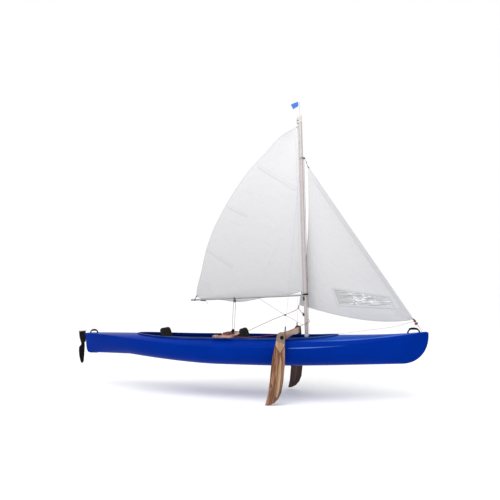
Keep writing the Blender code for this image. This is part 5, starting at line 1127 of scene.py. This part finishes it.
def make_board_effect():
    """Heartwood figure down a board: a pale tongue between dark lines, knots, a sawn edge, and
    painted shade over the whole port board.
    """
    group, given = new_effect("board_figure", {
        "Cheek": colour(112, 98, 86), "Line": colour(86, 52, 34), "Pale": colour(184, 154, 120),
        "Edge": colour(84, 64, 54), "Painted port shade": colour(60, 38, 34), "Painted port shade share": 0.86})
    shade, rough, height = use_effect(group, WOOD, {})
    local = coordinates(group, "Object").vector("SUBTRACT", BOARD_HANG)
    across, aside, down = local.parts()
    below = (-0.20 - down).maths("MAXIMUM", 0.0)
    above = (down + 0.20).maths("MAXIMUM", 0.0)
    middle = below * below * -0.228 - 0.032 + (local.noise(7.0) - 0.5) * 0.02
    share = (below / 0.570).maths("MINIMUM", 1.0)
    swell = (share * 3.0).maths("MINIMUM", 1.0) ** 0.7
    close = (1.0 - share ** 7.0).maths("SQRT")
    width = swell * close * 0.025 + 0.002 + above * 0.62
    off = across - middle
    from_line = abs(off) - width
    inside = from_line.ramp(-0.003, 0.002, 1.0, 0.0)
    lanes = off.node("ShaderNodeCombineXYZ", {0: off * 44.0, 2: down * 2.2})
    streak = lanes.noise(1.0, 4.0, 0.4).ramp(0.45, 0.53, 0.0, 1.0)
    shade = shade.mixed(inside * 0.85, given["Pale"])
    shade = shade.mixed((inside * -0.45 + 0.92) * streak, colour(84, 48, 30))
    shade = shade.mixed(down.ramp(-0.30, -0.80, 0.0, 0.22), colour(60, 40, 30))
    pink = off.ramp(0.02, 0.04, 0.0, 0.5) * (1.0 - inside)
    shade = shade.mixed(pink, colour(158, 118, 96))
    line = abs(from_line).ramp(0.002, 0.009, 0.95, 0.0) * down.ramp(-0.80, -0.775, 0.0, 1.0)
    for x, z, size in ((-0.112, -0.276, 0.017), (-0.158, -0.605, 0.019), (-0.104, -0.752, 0.015)):
        knot = local.vector("SUBTRACT", (x, 0.0, z)).vector("MULTIPLY", (1.0, 0.0, 0.55))
        knot = knot.node("ShaderNodeVectorMath", {0: knot}, 1, operation="LENGTH")
        line = line.maths("MAXIMUM", knot.ramp(size * 0.5, size, 0.9, 0.0))
    low = (-0.34 - down).maths("MAXIMUM", 0.0)
    lead = low * low * -0.53 + 0.0225
    bevel = (across - lead).ramp(-0.017, -0.013, 0.0, 1.0) * down.ramp(-0.52, -0.44, 1.0, 0.0)
    cheek = (across * 0.405 + down).ramp(-0.078, -0.072, 0.0, 1.0) * 0.85
    # Painted shade: the port board, on the far side of the hull, is darkened all over.
    port = aside.maths("GREATER_THAN", 0.0) * given["Painted port shade share"]
    for share, label in ((line, "Line"), (bevel, "Edge"), (cheek, "Cheek"), (port, "Painted port shade")):
        shade = shade.mixed(share, given[label])
    return put_out(group, shade, rough, height)


def varnished(name, effect, values):
    return new_material(name, effect, values, 0.00015, 0.2, Coat_Weight=0.12, Coat_Roughness=0.2)


BOARD_WOOD = varnished("leeboard_plank", make_board_effect(), {})
BEAM_WOOD = varnished("beam_plank", WOOD, {
    "Light": colour(196, 160, 140), "Dark": colour(150, 108, 84), "Direction": (5.0, 0.5, 5.0),
    "Ends": 0.8, "Figure": 0.7})
dress(BOARD_WOOD, "leeboard_starboard", "leeboard_port")
dress(BEAM_WOOD, "leeboard_beam")
dress(STEEL, "beam_clamp_starboard", "beam_clamp_port")
dress(BLACK_PLASTIC, "leeboard_knob_starboard", "leeboard_knob_port")


# Thwart
# A wooden plank across the cockpit's middle, on the rim.
# It carries a cam cleat at each side for the jib sheets and the mainsheet's lower block.

THWART_WOOD = varnished("thwart_plank", WOOD, {
    "Light": colour(170, 132, 122), "Dark": colour(112, 76, 66), "Direction": (5.0, 0.5, 5.0),
    "Figure": 0.9})
dress(THWART_WOOD, "thwart_board")
dress(BLACK_PLASTIC, "cleat_base_starboard", "cleat_base_port", "cam_starboard_inboard",
      "cam_starboard_outboard", "cam_port_inboard", "cam_port_outboard", "sheet_block_lower")


# Boom
# A slim aluminium tube that slopes down a little towards its plugged aft end.
# It swings on the gooseneck's pin and carries the mainsheet's upper block.

BOOM_ALLOY = metal("grey_alloy", colour(150, 150, 155), 0.40, 0.55)
dress(BOOM_ALLOY, "boom")
GREY_PLASTIC = small_moulding("grey_moulding", colour(84, 90, 102), colour(120, 124, 132))
dress(GREY_PLASTIC, "boom_end_cap", "sheet_block_upper")


def make_boom_fittings():
    """A jamming cleat under the boom with its cord's tail, and the vang's small block."""
    start, end = -0.577, -0.491
    profile = [(0.0, 0.000), (0.006, -0.0075), (0.020, -0.0095), (0.060, -0.0125),
               (0.078, -0.0110), (0.086, -0.0040), (0.086, 0.0)]
    data = bmesh.new()
    rows = []
    for y, inset in ((-0.0065, 0.0012), (-0.0050, 0.0), (0.0050, 0.0), (0.0065, 0.0012)):
        rows.append([data.verts.new((start + x, y, boom_centre(start + x) - BOOM_RADIUS + 0.0012
                                     + min(z + inset, 0.0))) for x, z in profile])
    skin(data, rows, around=True, capped=True)
    new_piece("outhaul_cleat", data, BLACK_PLASTIC, "boom_and_mainsail", 30.0)
    under = boom_centre(end) - BOOM_RADIUS
    tail = smooth_line([(end - 0.012, 0.0, under - 0.008), (end + 0.004, 0.001, under - 0.016),
                        (end + 0.018, 0.003, under - 0.036), (end + 0.014, 0.004, under - 0.052)])
    new_piece("outhaul_tail", sweep(even_points(tail, 24), 0.0016, 8), BLACK_PLASTIC,
              "boom_and_mainsail", 80.0)
    make_block("vang_block", "boom_and_mainsail", VANG_BLOCK, 0.0050, 0.0112, 0.0045)


make_boom_fittings()


# Mainsail
# Off-white woven polyester, cut full, with its luff rope in the mast's track and a loose foot.
# Battens in sewn pockets hold out the leech, and doubled cloth strengthens each corner.

def sail_material(name, shade, threads, relief, crease, soil, light, painted_foot_shade=0.0, bump=0.0004):
    values = {"Colour": shade, "Threads": threads, "Relief": relief, "Crease": crease,
              "Soil": soil, "Painted foot shade": painted_foot_shade}
    return new_material(name, WEAVE, values, bump, 0.15, light, Sheen_Weight=0.02)


SAIL_COLOUR, DOUBLED_COLOUR = colour(197, 197, 199), colour(192, 192, 194)
SAIL_CLOTH = sail_material("sail_polyester", SAIL_COLOUR, 1400.0, 0.2, 0.9, 0.03, 0.18)
# The mainsail's cloth and doubling carry painted shade towards the foot.
MAIN_CLOTH = sail_material("mainsail_polyester", SAIL_COLOUR, 1400.0, 0.2, 0.9, 0.03, 0.18, 0.26)
TAPE_CLOTH = sail_material("doubled_polyester", DOUBLED_COLOUR, 1100.0, 0.4, 0.3, 0.04, 0.04)
MAIN_TAPE = sail_material("mainsail_doubling", DOUBLED_COLOUR, 1100.0, 0.4, 0.3, 0.04, 0.04, 0.26)
THREAD = sail_material("seam_thread", colour(186, 186, 189), 2600.0, 0.8, 0.0, 0.10, 0.04,
                       bump=0.0003)
BLACK_WEBBING = new_material("black_webbing", WEAVE, {
    "Colour": colour(20, 20, 23), "Threads": 1500.0, "Relief": 0.9, "Crease": 0.1,
    "Roughness": 0.8}, 0.0004, 0.1, Sheen_Weight=0.05)
SEAM_WIDTH = 0.004
MAIN_TACK_Z = BOOM_HEIGHT + 0.018 + GAP
MAIN_FOOT_Z = MAIN_TACK_Z + 0.006
MAIN_HEAD_Z = 3.250
MAIN_LEECH = [(-0.640, 0.926), (-0.633, 1.020), (-0.553, 1.308), (-0.479, 1.595),
              (-0.363, 1.881), (-0.205, 2.162), (-0.018, 2.439), (0.202, 2.709),
              (0.482, 2.969), (0.652, 3.132), (0.885, 3.250)]
MAIN_BELLY = 0.105
FOOT_DROOP = [(0.0, -0.036), (0.03, -0.014), (0.08, 0.003), (0.12, 0.0145), (0.25, 0.034),
              (0.36, 0.048), (0.46, 0.074), (0.58, 0.096), (0.68, 0.084), (0.76, 0.060),
              (0.86, 0.048), (0.95, 0.036), (0.98, 0.020), (1.0, 0.0)]
CLOTH_LIFT = 0.0011


def belly(share):
    return math.sin(math.pi * min(share, 1.0) ** 0.76) ** 1.1


def cloth_grid(name, rows, material, body):
    data = bmesh.new()
    skin(data, [[data.verts.new(place) for place in row] for row in rows])
    return sewn_piece(name, data, material, body, 60.0)


def cloth_tree(piece):
    data = bmesh.new()
    data.from_mesh(piece.data)
    tree = BVHTree.FromBMesh(data)
    data.free()
    return tree


def on_cloth(tree, x, z, side, lift=CLOTH_LIFT):
    """The cloth's place at (x, z), lifted to one side of it."""
    near, normal = tree.ray_cast(Vector((x, -2.0, z)), Vector((0, 1, 0)))[:2]
    if near is None:
        near, normal = tree.find_nearest(Vector((x, 0.04, z)))[:2]
    if normal.y > 0:
        normal = -normal
    return near + normal * side * lift


def sewn_strips(name, tree, strips, material, body):
    """Bands of cloth on both faces of a sail; each is a width, a thickness and a path."""
    data = bmesh.new()
    for width, lift, path in strips:
        path = [Vector((x, 0, z)) for x, z in path]
        count = max(2, round(line_length(path) / 0.04) + 1)
        points = even_points(path, count)
        for side in (1, -1):
            rows = []
            for index, place in enumerate(points):
                before, after = points[max(index - 1, 0)], points[min(index + 1, count - 1)]
                along = (after - before).normalized()
                across = Vector((-along.z, 0, along.x)) * width / 2
                row = []
                for share, raised in ((-1, 0.15), (-0.86, 1.0), (0, 1.0), (0.86, 1.0), (1, 0.15)):
                    spot = place + across * share
                    row.append(data.verts.new(on_cloth(tree, spot.x, spot.z, side, lift * raised)))
                rows.append(row)
            skin(data, rows)
    return sewn_piece(name, data, material, body)


def corner_patches(name, tree, corners, material, body):
    """Doubled cloth in rays from each corner: a corner, two directions and a reach."""
    data = bmesh.new()
    for (x, z), first, last, reach in corners:
        for level, scale in enumerate((1.0, 0.66)):
            for side in (1, -1):
                rows = []
                for ring in range(7):
                    row = []
                    for step in range(13):
                        share = step / 12
                        angle = math.radians(first + (last - first) * share)
                        scallop = 1 - 0.12 * math.sin(math.pi * share * 2) ** 2
                        far = 0.012 + reach * scale * scallop * ring / 6
                        lift = CLOTH_LIFT * (1 + level) * (0.2 if ring == 6 else 1.0)
                        spot = (x + far * math.cos(angle), z + far * math.sin(angle))
                        row.append(data.verts.new(on_cloth(tree, *spot, side, lift)))
                    rows.append(row)
                skin(data, rows)
    return sewn_piece(name, data, material, body)


def grommets(name, tree, places, body):
    """Pressed steel rings through a sail's corners."""
    section = [(0.0028 * math.cos(math.pi * step / 4), 0.0034 * math.sin(math.pi * step / 4))
               for step in range(8)]
    data = bmesh.new()
    for x, z, radius in places:
        centre = on_cloth(tree, x, z, 1, 0.0)
        rows = []
        for step in range(20):
            angle = 2 * math.pi * step / 20
            rows.append([data.verts.new(centre + Vector((
                (radius + out) * math.cos(angle), side, (radius + out) * math.sin(angle))))
                for out, side in section])
        skin(data, rows + rows[:1], around=True)
    return new_piece(name, data, STEEL, body, 60.0)


def cloth_row(luff, edge, depth, drops, ripple):
    """One level of a sail from luff to leech, with its belly, droop and slight ripples."""
    row = []
    for column, drop in enumerate(drops):
        across = column / (len(drops) - 1)
        place = luff.lerp(edge, across)
        place.y += depth * belly(across)
        place.z -= drop
        rough = Vector((place.x * ripple[0], ripple[1], place.z * ripple[2]))
        place.y += 0.004 * noise.noise(rough) * math.sin(math.pi * across)
        row.append(place)
    return row


def trim_sail(label, tree, body, cloth, tapes, seams, corners, rings, luff):
    """A sail's tapes, seams, doubled corners, rings and luff rope."""
    return [sewn_strips(label + "_tapes", tree, tapes, cloth, body),
            sewn_strips(label + "_seams", tree, seams, THREAD, body),
            corner_patches(label + "_patches", tree, corners, cloth, body),
            grommets(label + "_rings", tree, rings, body),
            new_piece(label + "_luff_rope", sweep(luff, 0.004, 10), TAPE_CLOTH, body,
                      80.0)]


def make_clew_strap():
    """Webbing round the boom, with a tab up to the clew."""
    middle = -0.662
    centre = boom_centre(middle)
    data = bmesh.new()
    rows = []
    for x, lift in ((-0.005, 0.0), (-0.004, 0.0010), (0.004, 0.0010), (0.005, 0.0)):
        reach = BOOM_RADIUS + 0.0018 + lift
        rows.append([data.verts.new((middle + x, reach * math.sin(2 * math.pi * step / 28),
                                     centre + reach * math.cos(2 * math.pi * step / 28)))
                     for step in range(28)])
    skin(data, rows, around=True)
    tab = [(middle - 0.006, centre + BOOM_RADIUS), (middle + 0.005, centre + BOOM_RADIUS),
           (middle + 0.042, centre + 0.066), (middle + 0.030, centre + 0.068)]
    for y in (-0.0034, 0.0034):
        data.faces.new([data.verts.new((x, y, z)) for x, z in tab])
    return sewn_piece("clew_strap", data, BLACK_WEBBING, "boom_and_mainsail")


def make_mainsail():
    leech = even_points(smooth_line([(x, 0, z) for x, z in MAIN_LEECH]), 73)
    droop = smooth_line([(share, 0, drop) for share, drop in FOOT_DROOP])
    foot_drops = [min(droop, key=lambda spot: abs(spot.x - step / 40)).z for step in range(41)]
    rows = []
    for index, edge in enumerate(leech):
        up = index / (len(leech) - 1)
        luff = Vector((LUFF_X, 0, MAIN_FOOT_Z + (MAIN_HEAD_Z - MAIN_FOOT_Z) * up))
        depth = MAIN_BELLY * ((edge - luff).length / 1.6) * (1 - 0.25 * (1 - up) ** 4)
        drops = [drop * max(0.0, 1 - up * 6) for drop in foot_drops]
        rows.append(cloth_row(luff, edge, depth, drops, (2.4, 0.0, 1.3)))
    sail = cloth_grid("mainsail_cloth", rows, MAIN_CLOTH, "boom_and_mainsail")
    tree = cloth_tree(sail)
    pockets = [[(0.335, 2.758), (0.872, 2.377)], [(-0.135, 2.214), (0.151, 2.058)],
               [(-0.452, 1.597), (-0.089, 1.342)]]
    tapes = [(0.018, 0.0009, [(place.x + 0.009, place.z - 0.002) for place in leech[1:-1]]),
             (0.022, 0.0009, [(place.x, place.z + 0.011) for place in rows[0][1:-1]]),
             (0.040, 0.0010, [(LUFF_X - 0.022, MAIN_FOOT_Z + 0.01),
                              (LUFF_X - 0.022, MAIN_HEAD_Z - 0.02)])]
    tapes += [(0.052, 0.0014, path) for path in pockets]
    seams = []
    for (ax, az), (bx, bz) in pockets:
        along = Vector((bx - ax, 0, bz - az)).normalized()
        for side in (-1, 1):
            dx, dz = -along.z * 0.022 * side, along.x * 0.022 * side
            seams.append((SEAM_WIDTH, 0.0022, [(ax + dx, az + dz), (bx + dx, bz + dz)]))
    seams.append((SEAM_WIDTH, 0.0012, [(0.62, 1.70), (0.34, 1.19)]))
    seams.append((SEAM_WIDTH, 0.0020, [(LUFF_X - 0.038, MAIN_FOOT_Z + 0.02),
                                       (LUFF_X - 0.038, MAIN_HEAD_Z - 0.06)]))
    corners = [((LUFF_X - 0.004, MAIN_FOOT_Z + 0.034), 97, 172, 0.20),
               ((-0.636, 0.934), 2, 88, 0.26),
               ((LUFF_X - 0.004, MAIN_HEAD_Z - 0.008), 205, 266, 0.20)]
    rings = [(LUFF_X - 0.026, MAIN_FOOT_Z + 0.050, 0.009), (-0.612, 0.956, 0.009),
             (LUFF_X - 0.026, MAIN_HEAD_Z - 0.040, 0.009)]
    luff = even_points([Vector((LUFF_X, 0, MAIN_TACK_Z)), Vector((LUFF_X, 0, 3.300))], 200)
    trim = trim_sail("mainsail", tree, "boom_and_mainsail", MAIN_TAPE, tapes, seams, corners,
                     rings, luff)
    strap = make_clew_strap()
    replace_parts(sail, "mainsail")


make_mainsail()


# Jib
# The same cloth on a wire luff, with a clear film window sewn into its lower part.
# It is tacked to a small furling drum and hangs from a swivel on the halyard.

dress(BLACK_PLASTIC, "furler_drum", "jib_swivel")
JIB_BELLY = 0.10
WINDOW = [(1.302, 1.009), (1.375, 0.775), (2.115, 0.735), (2.043, 0.887)]


def make_film_effect():
    """Clear film: a faint haze, long creases that catch the light, a tone that is paler forward,
    and painted white glints.
    """
    group, given = new_effect("clear_film", {"Colour": colour(152, 152, 154), "Roughness": 0.07})
    place = coordinates(group, "UV")
    along = place.parts()[0]
    crease = place.mapped((3.0, 26.0, 1.0)).noise(1.4, 3.0, 0.8)
    haze = place.noise(9.0, 4.0)
    star = place.mapped((9.0, 42.0, 1.0), (0.0, 0.0, 0.45)).noise(1.0, 4.0, 2.2)
    # Painted highlight: white glints in two bands along the window.
    glint = abs(along - 1.72).ramp(0.10, 0.24, 1.0, 0.0)
    glint = glint.maths("MAXIMUM", along.ramp(1.96, 2.04, 0.0, 0.9))
    shade = given["Colour"].mixed(along.ramp(1.30, 2.10, 0.0, 1.0), colour(184, 185, 188))
    shade = shade.mixed(glint * star.ramp(0.54, 0.60, 0.0, 1.0), colour(255, 255, 255))
    relief = crease * along.ramp(1.38, 1.62, 0.3, 1.0)
    return put_out(group, shade, haze * 0.12 + given["Roughness"], relief)


FILM = new_material("window_film", make_film_effect(), {}, 0.05, 0.3, Alpha=0.82,
                    Coat_Weight=0.15, Coat_Roughness=0.06)


def cut_window(sail, middle):
    """Cut the window out of the jib's cloth, and give what was cut out."""
    data = bmesh.new()
    data.from_mesh(sail.data)
    sides = []
    for (ax, az), (bx, bz) in zip(WINDOW, WINDOW[1:] + WINDOW[:1]):
        normal = Vector((bz - az, 0, ax - bx)).normalized()
        if normal.dot(middle - Vector((ax, 0, az))) < 0:
            normal = -normal
        sides.append((Vector((ax, 0, az)), normal))
        bmesh.ops.bisect_plane(data, geom=data.verts[:] + data.edges[:] + data.faces[:],
                               plane_co=Vector((ax, 0, az)), plane_no=normal)

    def within(face):
        centre = face.calc_center_median()
        return all((centre - place).dot(normal) > 0 for place, normal in sides)

    film = data.copy()
    for cut, wanted in ((film, True), (data, False)):
        spare = [face for face in cut.faces if within(face) != wanted]
        bmesh.ops.delete(cut, geom=spare, context="FACES")
    data.to_mesh(sail.data)
    data.free()
    sail.data.shade_smooth()
    return film


def make_jib():
    head, tack = stay_point(JIB_HEAD_Z), stay_point(JIB_TACK_Z)
    rows = []
    for index in range(65):
        up = index / 64
        luff = tack.lerp(head, up)
        edge = JIB_CLEW.lerp(head + Vector((-0.020, 0, -0.010)), up)
        edge.x += 0.06 * math.sin(math.pi * up)
        depth = JIB_BELLY * ((edge - luff).length / 1.5)
        drops = [0.098 * math.sin(math.pi * (column / 44) ** 0.8) * max(0.0, 1 - up * 5)
                 for column in range(45)]
        rows.append(cloth_row(luff, edge, depth, drops, (3.0, 1.7, 1.8)))
    sail = cloth_grid("jib_cloth", rows, SAIL_CLOTH, "furling_jib")
    tree = cloth_tree(sail)
    middle = Vector((sum(x for x, z in WINDOW) / 4, 0, sum(z for x, z in WINDOW) / 4))
    film = cut_window(sail, middle)
    window = new_piece("jib_window", film, FILM, "furling_jib", 60.0, False)
    luff_tape = [(row[0].x - 0.022, row[0].z - 0.012) for row in rows[1:64]]
    tapes = [(0.016, 0.0009, [(row[-1].x + 0.008, row[-1].z) for row in rows[1:64]]),
             (0.024, 0.0009, [(place.x, place.z + 0.012) for place in rows[0][1:-1]]),
             (0.040, 0.0010, luff_tape)]
    seams = [(SEAM_WIDTH, 0.0014, [(x - 0.022, z - 0.012) for x, z in luff_tape[2:-6]])]
    for start, end in zip(WINDOW, WINDOW[1:] + WINDOW[:1]):
        tapes.append((0.030, 0.0010, [start, end]))
        pair = [middle.xz + (Vector(place) - middle.xz) * 1.03 for place in (start, end)]
        seams.append((SEAM_WIDTH, 0.0018, [tuple(place) for place in pair]))
    corners = [((tack.x - 0.012, tack.z + 0.004), 124, 171, 0.22),
               ((JIB_CLEW.x + 0.004, JIB_CLEW.z + 0.004), -14, 72, 0.24),
               ((head.x - 0.006, head.z - 0.030), 258, 296, 0.22)]
    rings = [(JIB_CLEW.x + 0.020, JIB_CLEW.z + 0.012, 0.009),
             (tack.x - 0.042, tack.z + 0.018, 0.008)]
    wire = even_points([tack - STAY_AXIS * 0.002, head + STAY_AXIS * 0.002], 160)
    trim = trim_sail("jib", tree, "furling_jib", TAPE_CLOTH, tapes, seams, corners, rings, wire)
    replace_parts(sail, "jib_sail")


make_jib()


# Seats
# Two moulded black pans on low pedestals, each with a padded back that folds on a cross pin.
# The backs are dark woven covers over foam, piped at the edge and strapped to a black barrel.

dress(BLACK_PLASTIC, "seat_base_aft", "seat_base_front")
SEAT_PADDING = new_material("seat_cloth", WEAVE, {
    "Colour": colour(12, 12, 9), "Threads": 1300.0, "Relief": 1.2, "Crease": 0.25,
    "Roughness": 0.85, "Soil": 0.05}, 0.0004, 0.04)
BACK_LEAN = math.radians(15.0)
BACK_HEIGHT = 0.350
BACK_HALF_BASE = 0.195
BACK_HALF_TOP = 0.130
BACK_FORE_FACE = 0.025
BACK_AFT_FACE = 0.038
SEAT_HINGE_HEIGHT = 0.150
SEAT_BARREL = 0.014
PAD_SWELL = 0.007
PAD_EDGE = 0.008


def half_width(share):
    """Half the width of a seat back, at a share of its height."""
    return BACK_HALF_BASE + (BACK_HALF_TOP - BACK_HALF_BASE) * share


def back_outline(shrink):
    """A seat back seen from ahead, narrower at the top, as (y, height) pairs."""
    start = SEAT_BARREL + 0.010
    outline = []
    for share, width in ((0.0, 0.80), (0.05, 0.95), (0.14, 1.0), (0.32, 0.99), (0.5, 0.975),
                         (0.68, 0.97), (0.82, 0.97), (0.95, 0.93), (1.0, 0.80)):
        outline.append((half_width(share) * width / (1.0 - 0.08 * share) - shrink,
                        start + shrink + (BACK_HEIGHT - start - 2 * shrink) * share))
    return mirrored(outline)


def blow_up(pad):
    """Fill a cushion by a cloth simulation, no further than its swell."""
    before = [vert.co.copy() for vert in pad.data.vertices]
    cloth = pad.modifiers.new("cloth", "CLOTH")
    cloth.settings.use_pressure = True
    cloth.settings.uniform_pressure_force = 4.0
    cloth.settings.effector_weights.gravity = 0.0
    for frame_number in range(1, 21):
        bpy.context.scene.frame_set(frame_number)
    bpy.ops.object.modifier_apply(modifier="cloth")
    for vert, old in zip(pad.data.vertices, before):
        step = vert.co - old
        if step.length > PAD_SWELL:
            vert.co = old + step.normalized() * PAD_SWELL
    bpy.context.scene.frame_set(1)


def make_pad(name, hinge, lean):
    """A rounded cushion with UVs in metres across and up."""
    fore, aft, middle = BACK_FORE_FACE - PAD_SWELL, PAD_SWELL - BACK_AFT_FACE, BACK_HEIGHT / 2
    data = bmesh.new()
    rows = []
    for depth, shrink in ((aft, 0.92), (aft + PAD_EDGE, 1.0), (fore - PAD_EDGE, 1.0),
                          (fore, 0.92)):
        rows.append([data.verts.new(hinge + lean @ Vector((
            depth, y * shrink, middle + (z - middle) * shrink)))
            for y, z in back_outline(PAD_SWELL)])
    skin(data, rows, around=True, capped=True)
    pad = new_piece(name, data, SEAT_PADDING)
    bpy.context.view_layer.objects.active = pad
    remesh = pad.modifiers.new("remesh", "REMESH")
    remesh.mode = "VOXEL"
    remesh.voxel_size = 0.006
    bpy.ops.object.modifier_apply(modifier="remesh")
    blow_up(pad)
    finer = pad.modifiers.new("finer", "SUBSURF")
    finer.levels = 1
    bpy.ops.object.modifier_apply(modifier="finer")
    mesh = pad.data
    layer = mesh.uv_layers.new(name="UVMap")
    turn_back = lean.transposed()
    for loop in mesh.loops:
        place = turn_back @ (mesh.vertices[loop.vertex_index].co - hinge)
        layer.data[loop.index].uv = (place.y + place.x, place.z)
    mesh.shade_smooth()
    return pad


def make_back(name, node, body, hinge_x):
    lean = Matrix.Rotation(-BACK_LEAN, 3, "Y")
    hinge = Vector((hinge_x, 0, SEAT_HINGE_HEIGHT))
    pad = make_pad(name + "_pad", hinge, lean)
    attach(pad, body)
    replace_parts(pad, node)
    tree = cloth_tree(pad)
    ring = [Vector((-0.0065, y, z)) for y, z in back_outline(0.004)]
    dense = smooth_line(ring + ring[:1])[:-1]
    piping = []
    for place in even_points(dense + dense[:1], 97)[:-1]:
        world = hinge + lean @ place
        piping.append(tree.find_nearest(world)[0].lerp(world, 0.15))
    new_piece(name + "_piping", sweep(piping, 0.0028, 8, closed=True), BLACK_WEBBING, body,
              80.0)
    for label, share in (("_seam_low", 0.36), ("_seam_high", 0.68)):
        width = half_width(share) * 0.90
        line = []
        for step in range(41):
            y = -width + 2 * width * step / 40
            start = hinge + lean @ Vector((0.20, y, BACK_HEIGHT * share - 0.02 * (y / width) ** 2))
            hit = tree.ray_cast(start, lean @ Vector((-1, 0, 0)))[0]
            if hit is not None:
                line.append(hit + lean @ Vector((0.0004, 0, 0)))
        new_piece(name + label, sweep(line, 0.0018, 6), BLACK_WEBBING, body, 80.0)
    side = Vector((0, 0.0885, 0))
    new_piece(name + "_barrel", sweep(even_points([hinge - side, hinge + side], 24), 0.012, 18),
              BLACK_PLASTIC, body, 50.0)
    strap = bmesh.new()
    for y in (-0.062, 0.0, 0.062):
        rows = []
        for x, z in ((-0.0215, 0.060), (-0.0135, 0.0), (0.0, -0.0135), (0.0135, 0.0),
                     (0.0215, 0.060)):
            place = lean @ Vector((x, 0, z))
            out = place.normalized() * 0.0016
            rows.append([strap.verts.new(hinge + place + offset + Vector((0, y + side, 0)))
                         for side, offset in ((-0.014, Vector()), (-0.013, out), (0.013, out),
                                              (0.014, Vector()))])
        skin(strap, rows)
    new_piece(name + "_straps", strap, BLACK_WEBBING, body, 50.0)


make_back("aft_back", "seat_back_aft", "seat_back_aft_body", -1.062)
make_back("front_back", "seat_back_front", "seat_back_front_body", 0.155)


# Rudder
# A black plastic head turns on a pin through the transom's bracket, with a grey metal yoke.
# The swept blade is bolted between its cheeks and lifts clear of the water.

dress(BLACK_PLASTIC, "rudder_head")
dress(metal("cast_yoke", colour(208, 206, 198), 0.42, 0.7, 0.00003), "rudder_yoke")
dress(STEEL, "rudder_bracket")
dress(small_moulding("blade_moulding", colour(9, 8, 11), colour(58, 60, 66), 0.40, 0.05, 0.35,
                     700.0), "rudder_blade")


# Steering pedals
# A rail on the hull's floor carries two black sliding foot pedals.
# They push against each other through the rudder.

dress(STEEL, "pedal_track")
dress(BLACK_PLASTIC, "pedal_starboard", "pedal_port")


# Studio
# A pale plain floor under the leeboards' tips, one broad soft lamp and a white surround.
# They belong to the picture alone.

FLOOR_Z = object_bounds()[0][2] - 0.002


def make_floor():
    data = bmesh.new()
    bmesh.ops.create_grid(data, x_segments=1, y_segments=1, size=60.0)
    bmesh.ops.translate(data, verts=data.verts, vec=(0, 0, FLOOR_Z))
    made = bpy.data.materials.new("studio_floor")
    made.use_nodes = True
    tree = made.node_tree
    shader = tree.nodes["Principled BSDF"]
    rough = coordinates(tree, "Object").noise(3.0, 3.0).ramp(0.3, 0.7, 0.85, 0.95)
    tree.links.new(rough.socket, shader.inputs["Roughness"])
    shader.inputs["Base Color"].default_value = (0.96, 0.96, 0.96, 1.0)
    shader.inputs["Specular IOR Level"].default_value = 0.1
    floor = new_piece("studio_floor", data, made, turned=False)


def add_lamp(name, place, aim, size, power):
    light = bpy.data.lights.new(name, "AREA")
    light.shape = "RECTANGLE"
    light.size, light.size_y = size
    light.energy = power
    lamp = bpy.data.objects.new(name, light)
    lamp.location = place
    lamp.rotation_euler = (Vector(aim) - Vector(place)).to_track_quat("-Z", "Y").to_euler()
    bpy.context.scene.collection.objects.link(lamp)


def make_surround():
    world = bpy.data.worlds.new("studio")
    bpy.context.scene.world = world
    world.use_nodes = True
    tree = world.node_tree
    tree.nodes.clear()
    rays = add_node(tree, "ShaderNodeLightPath").outputs
    camera, glossy, through = [Value(tree, rays[label]) for label in (
        "Is Camera Ray", "Is Glossy Ray", "Is Transmission Ray")]
    strength = camera.maths("MAXIMUM", glossy).maths("MAXIMUM", through).ramp(0.0, 1.0, 1.05, 1.0)
    back = strength.node("ShaderNodeBackground", {"Color": (1, 1, 1, 1), "Strength": strength})
    add_node(tree, "ShaderNodeOutputWorld", {"Surface": back})


make_floor()
add_lamp("key", (0.2, -3.3, 5.7), (0.5, 0, 2.2), (5.0, 5.0), 280)
make_surround()
bpy.context.scene.view_settings.view_transform = "Standard"
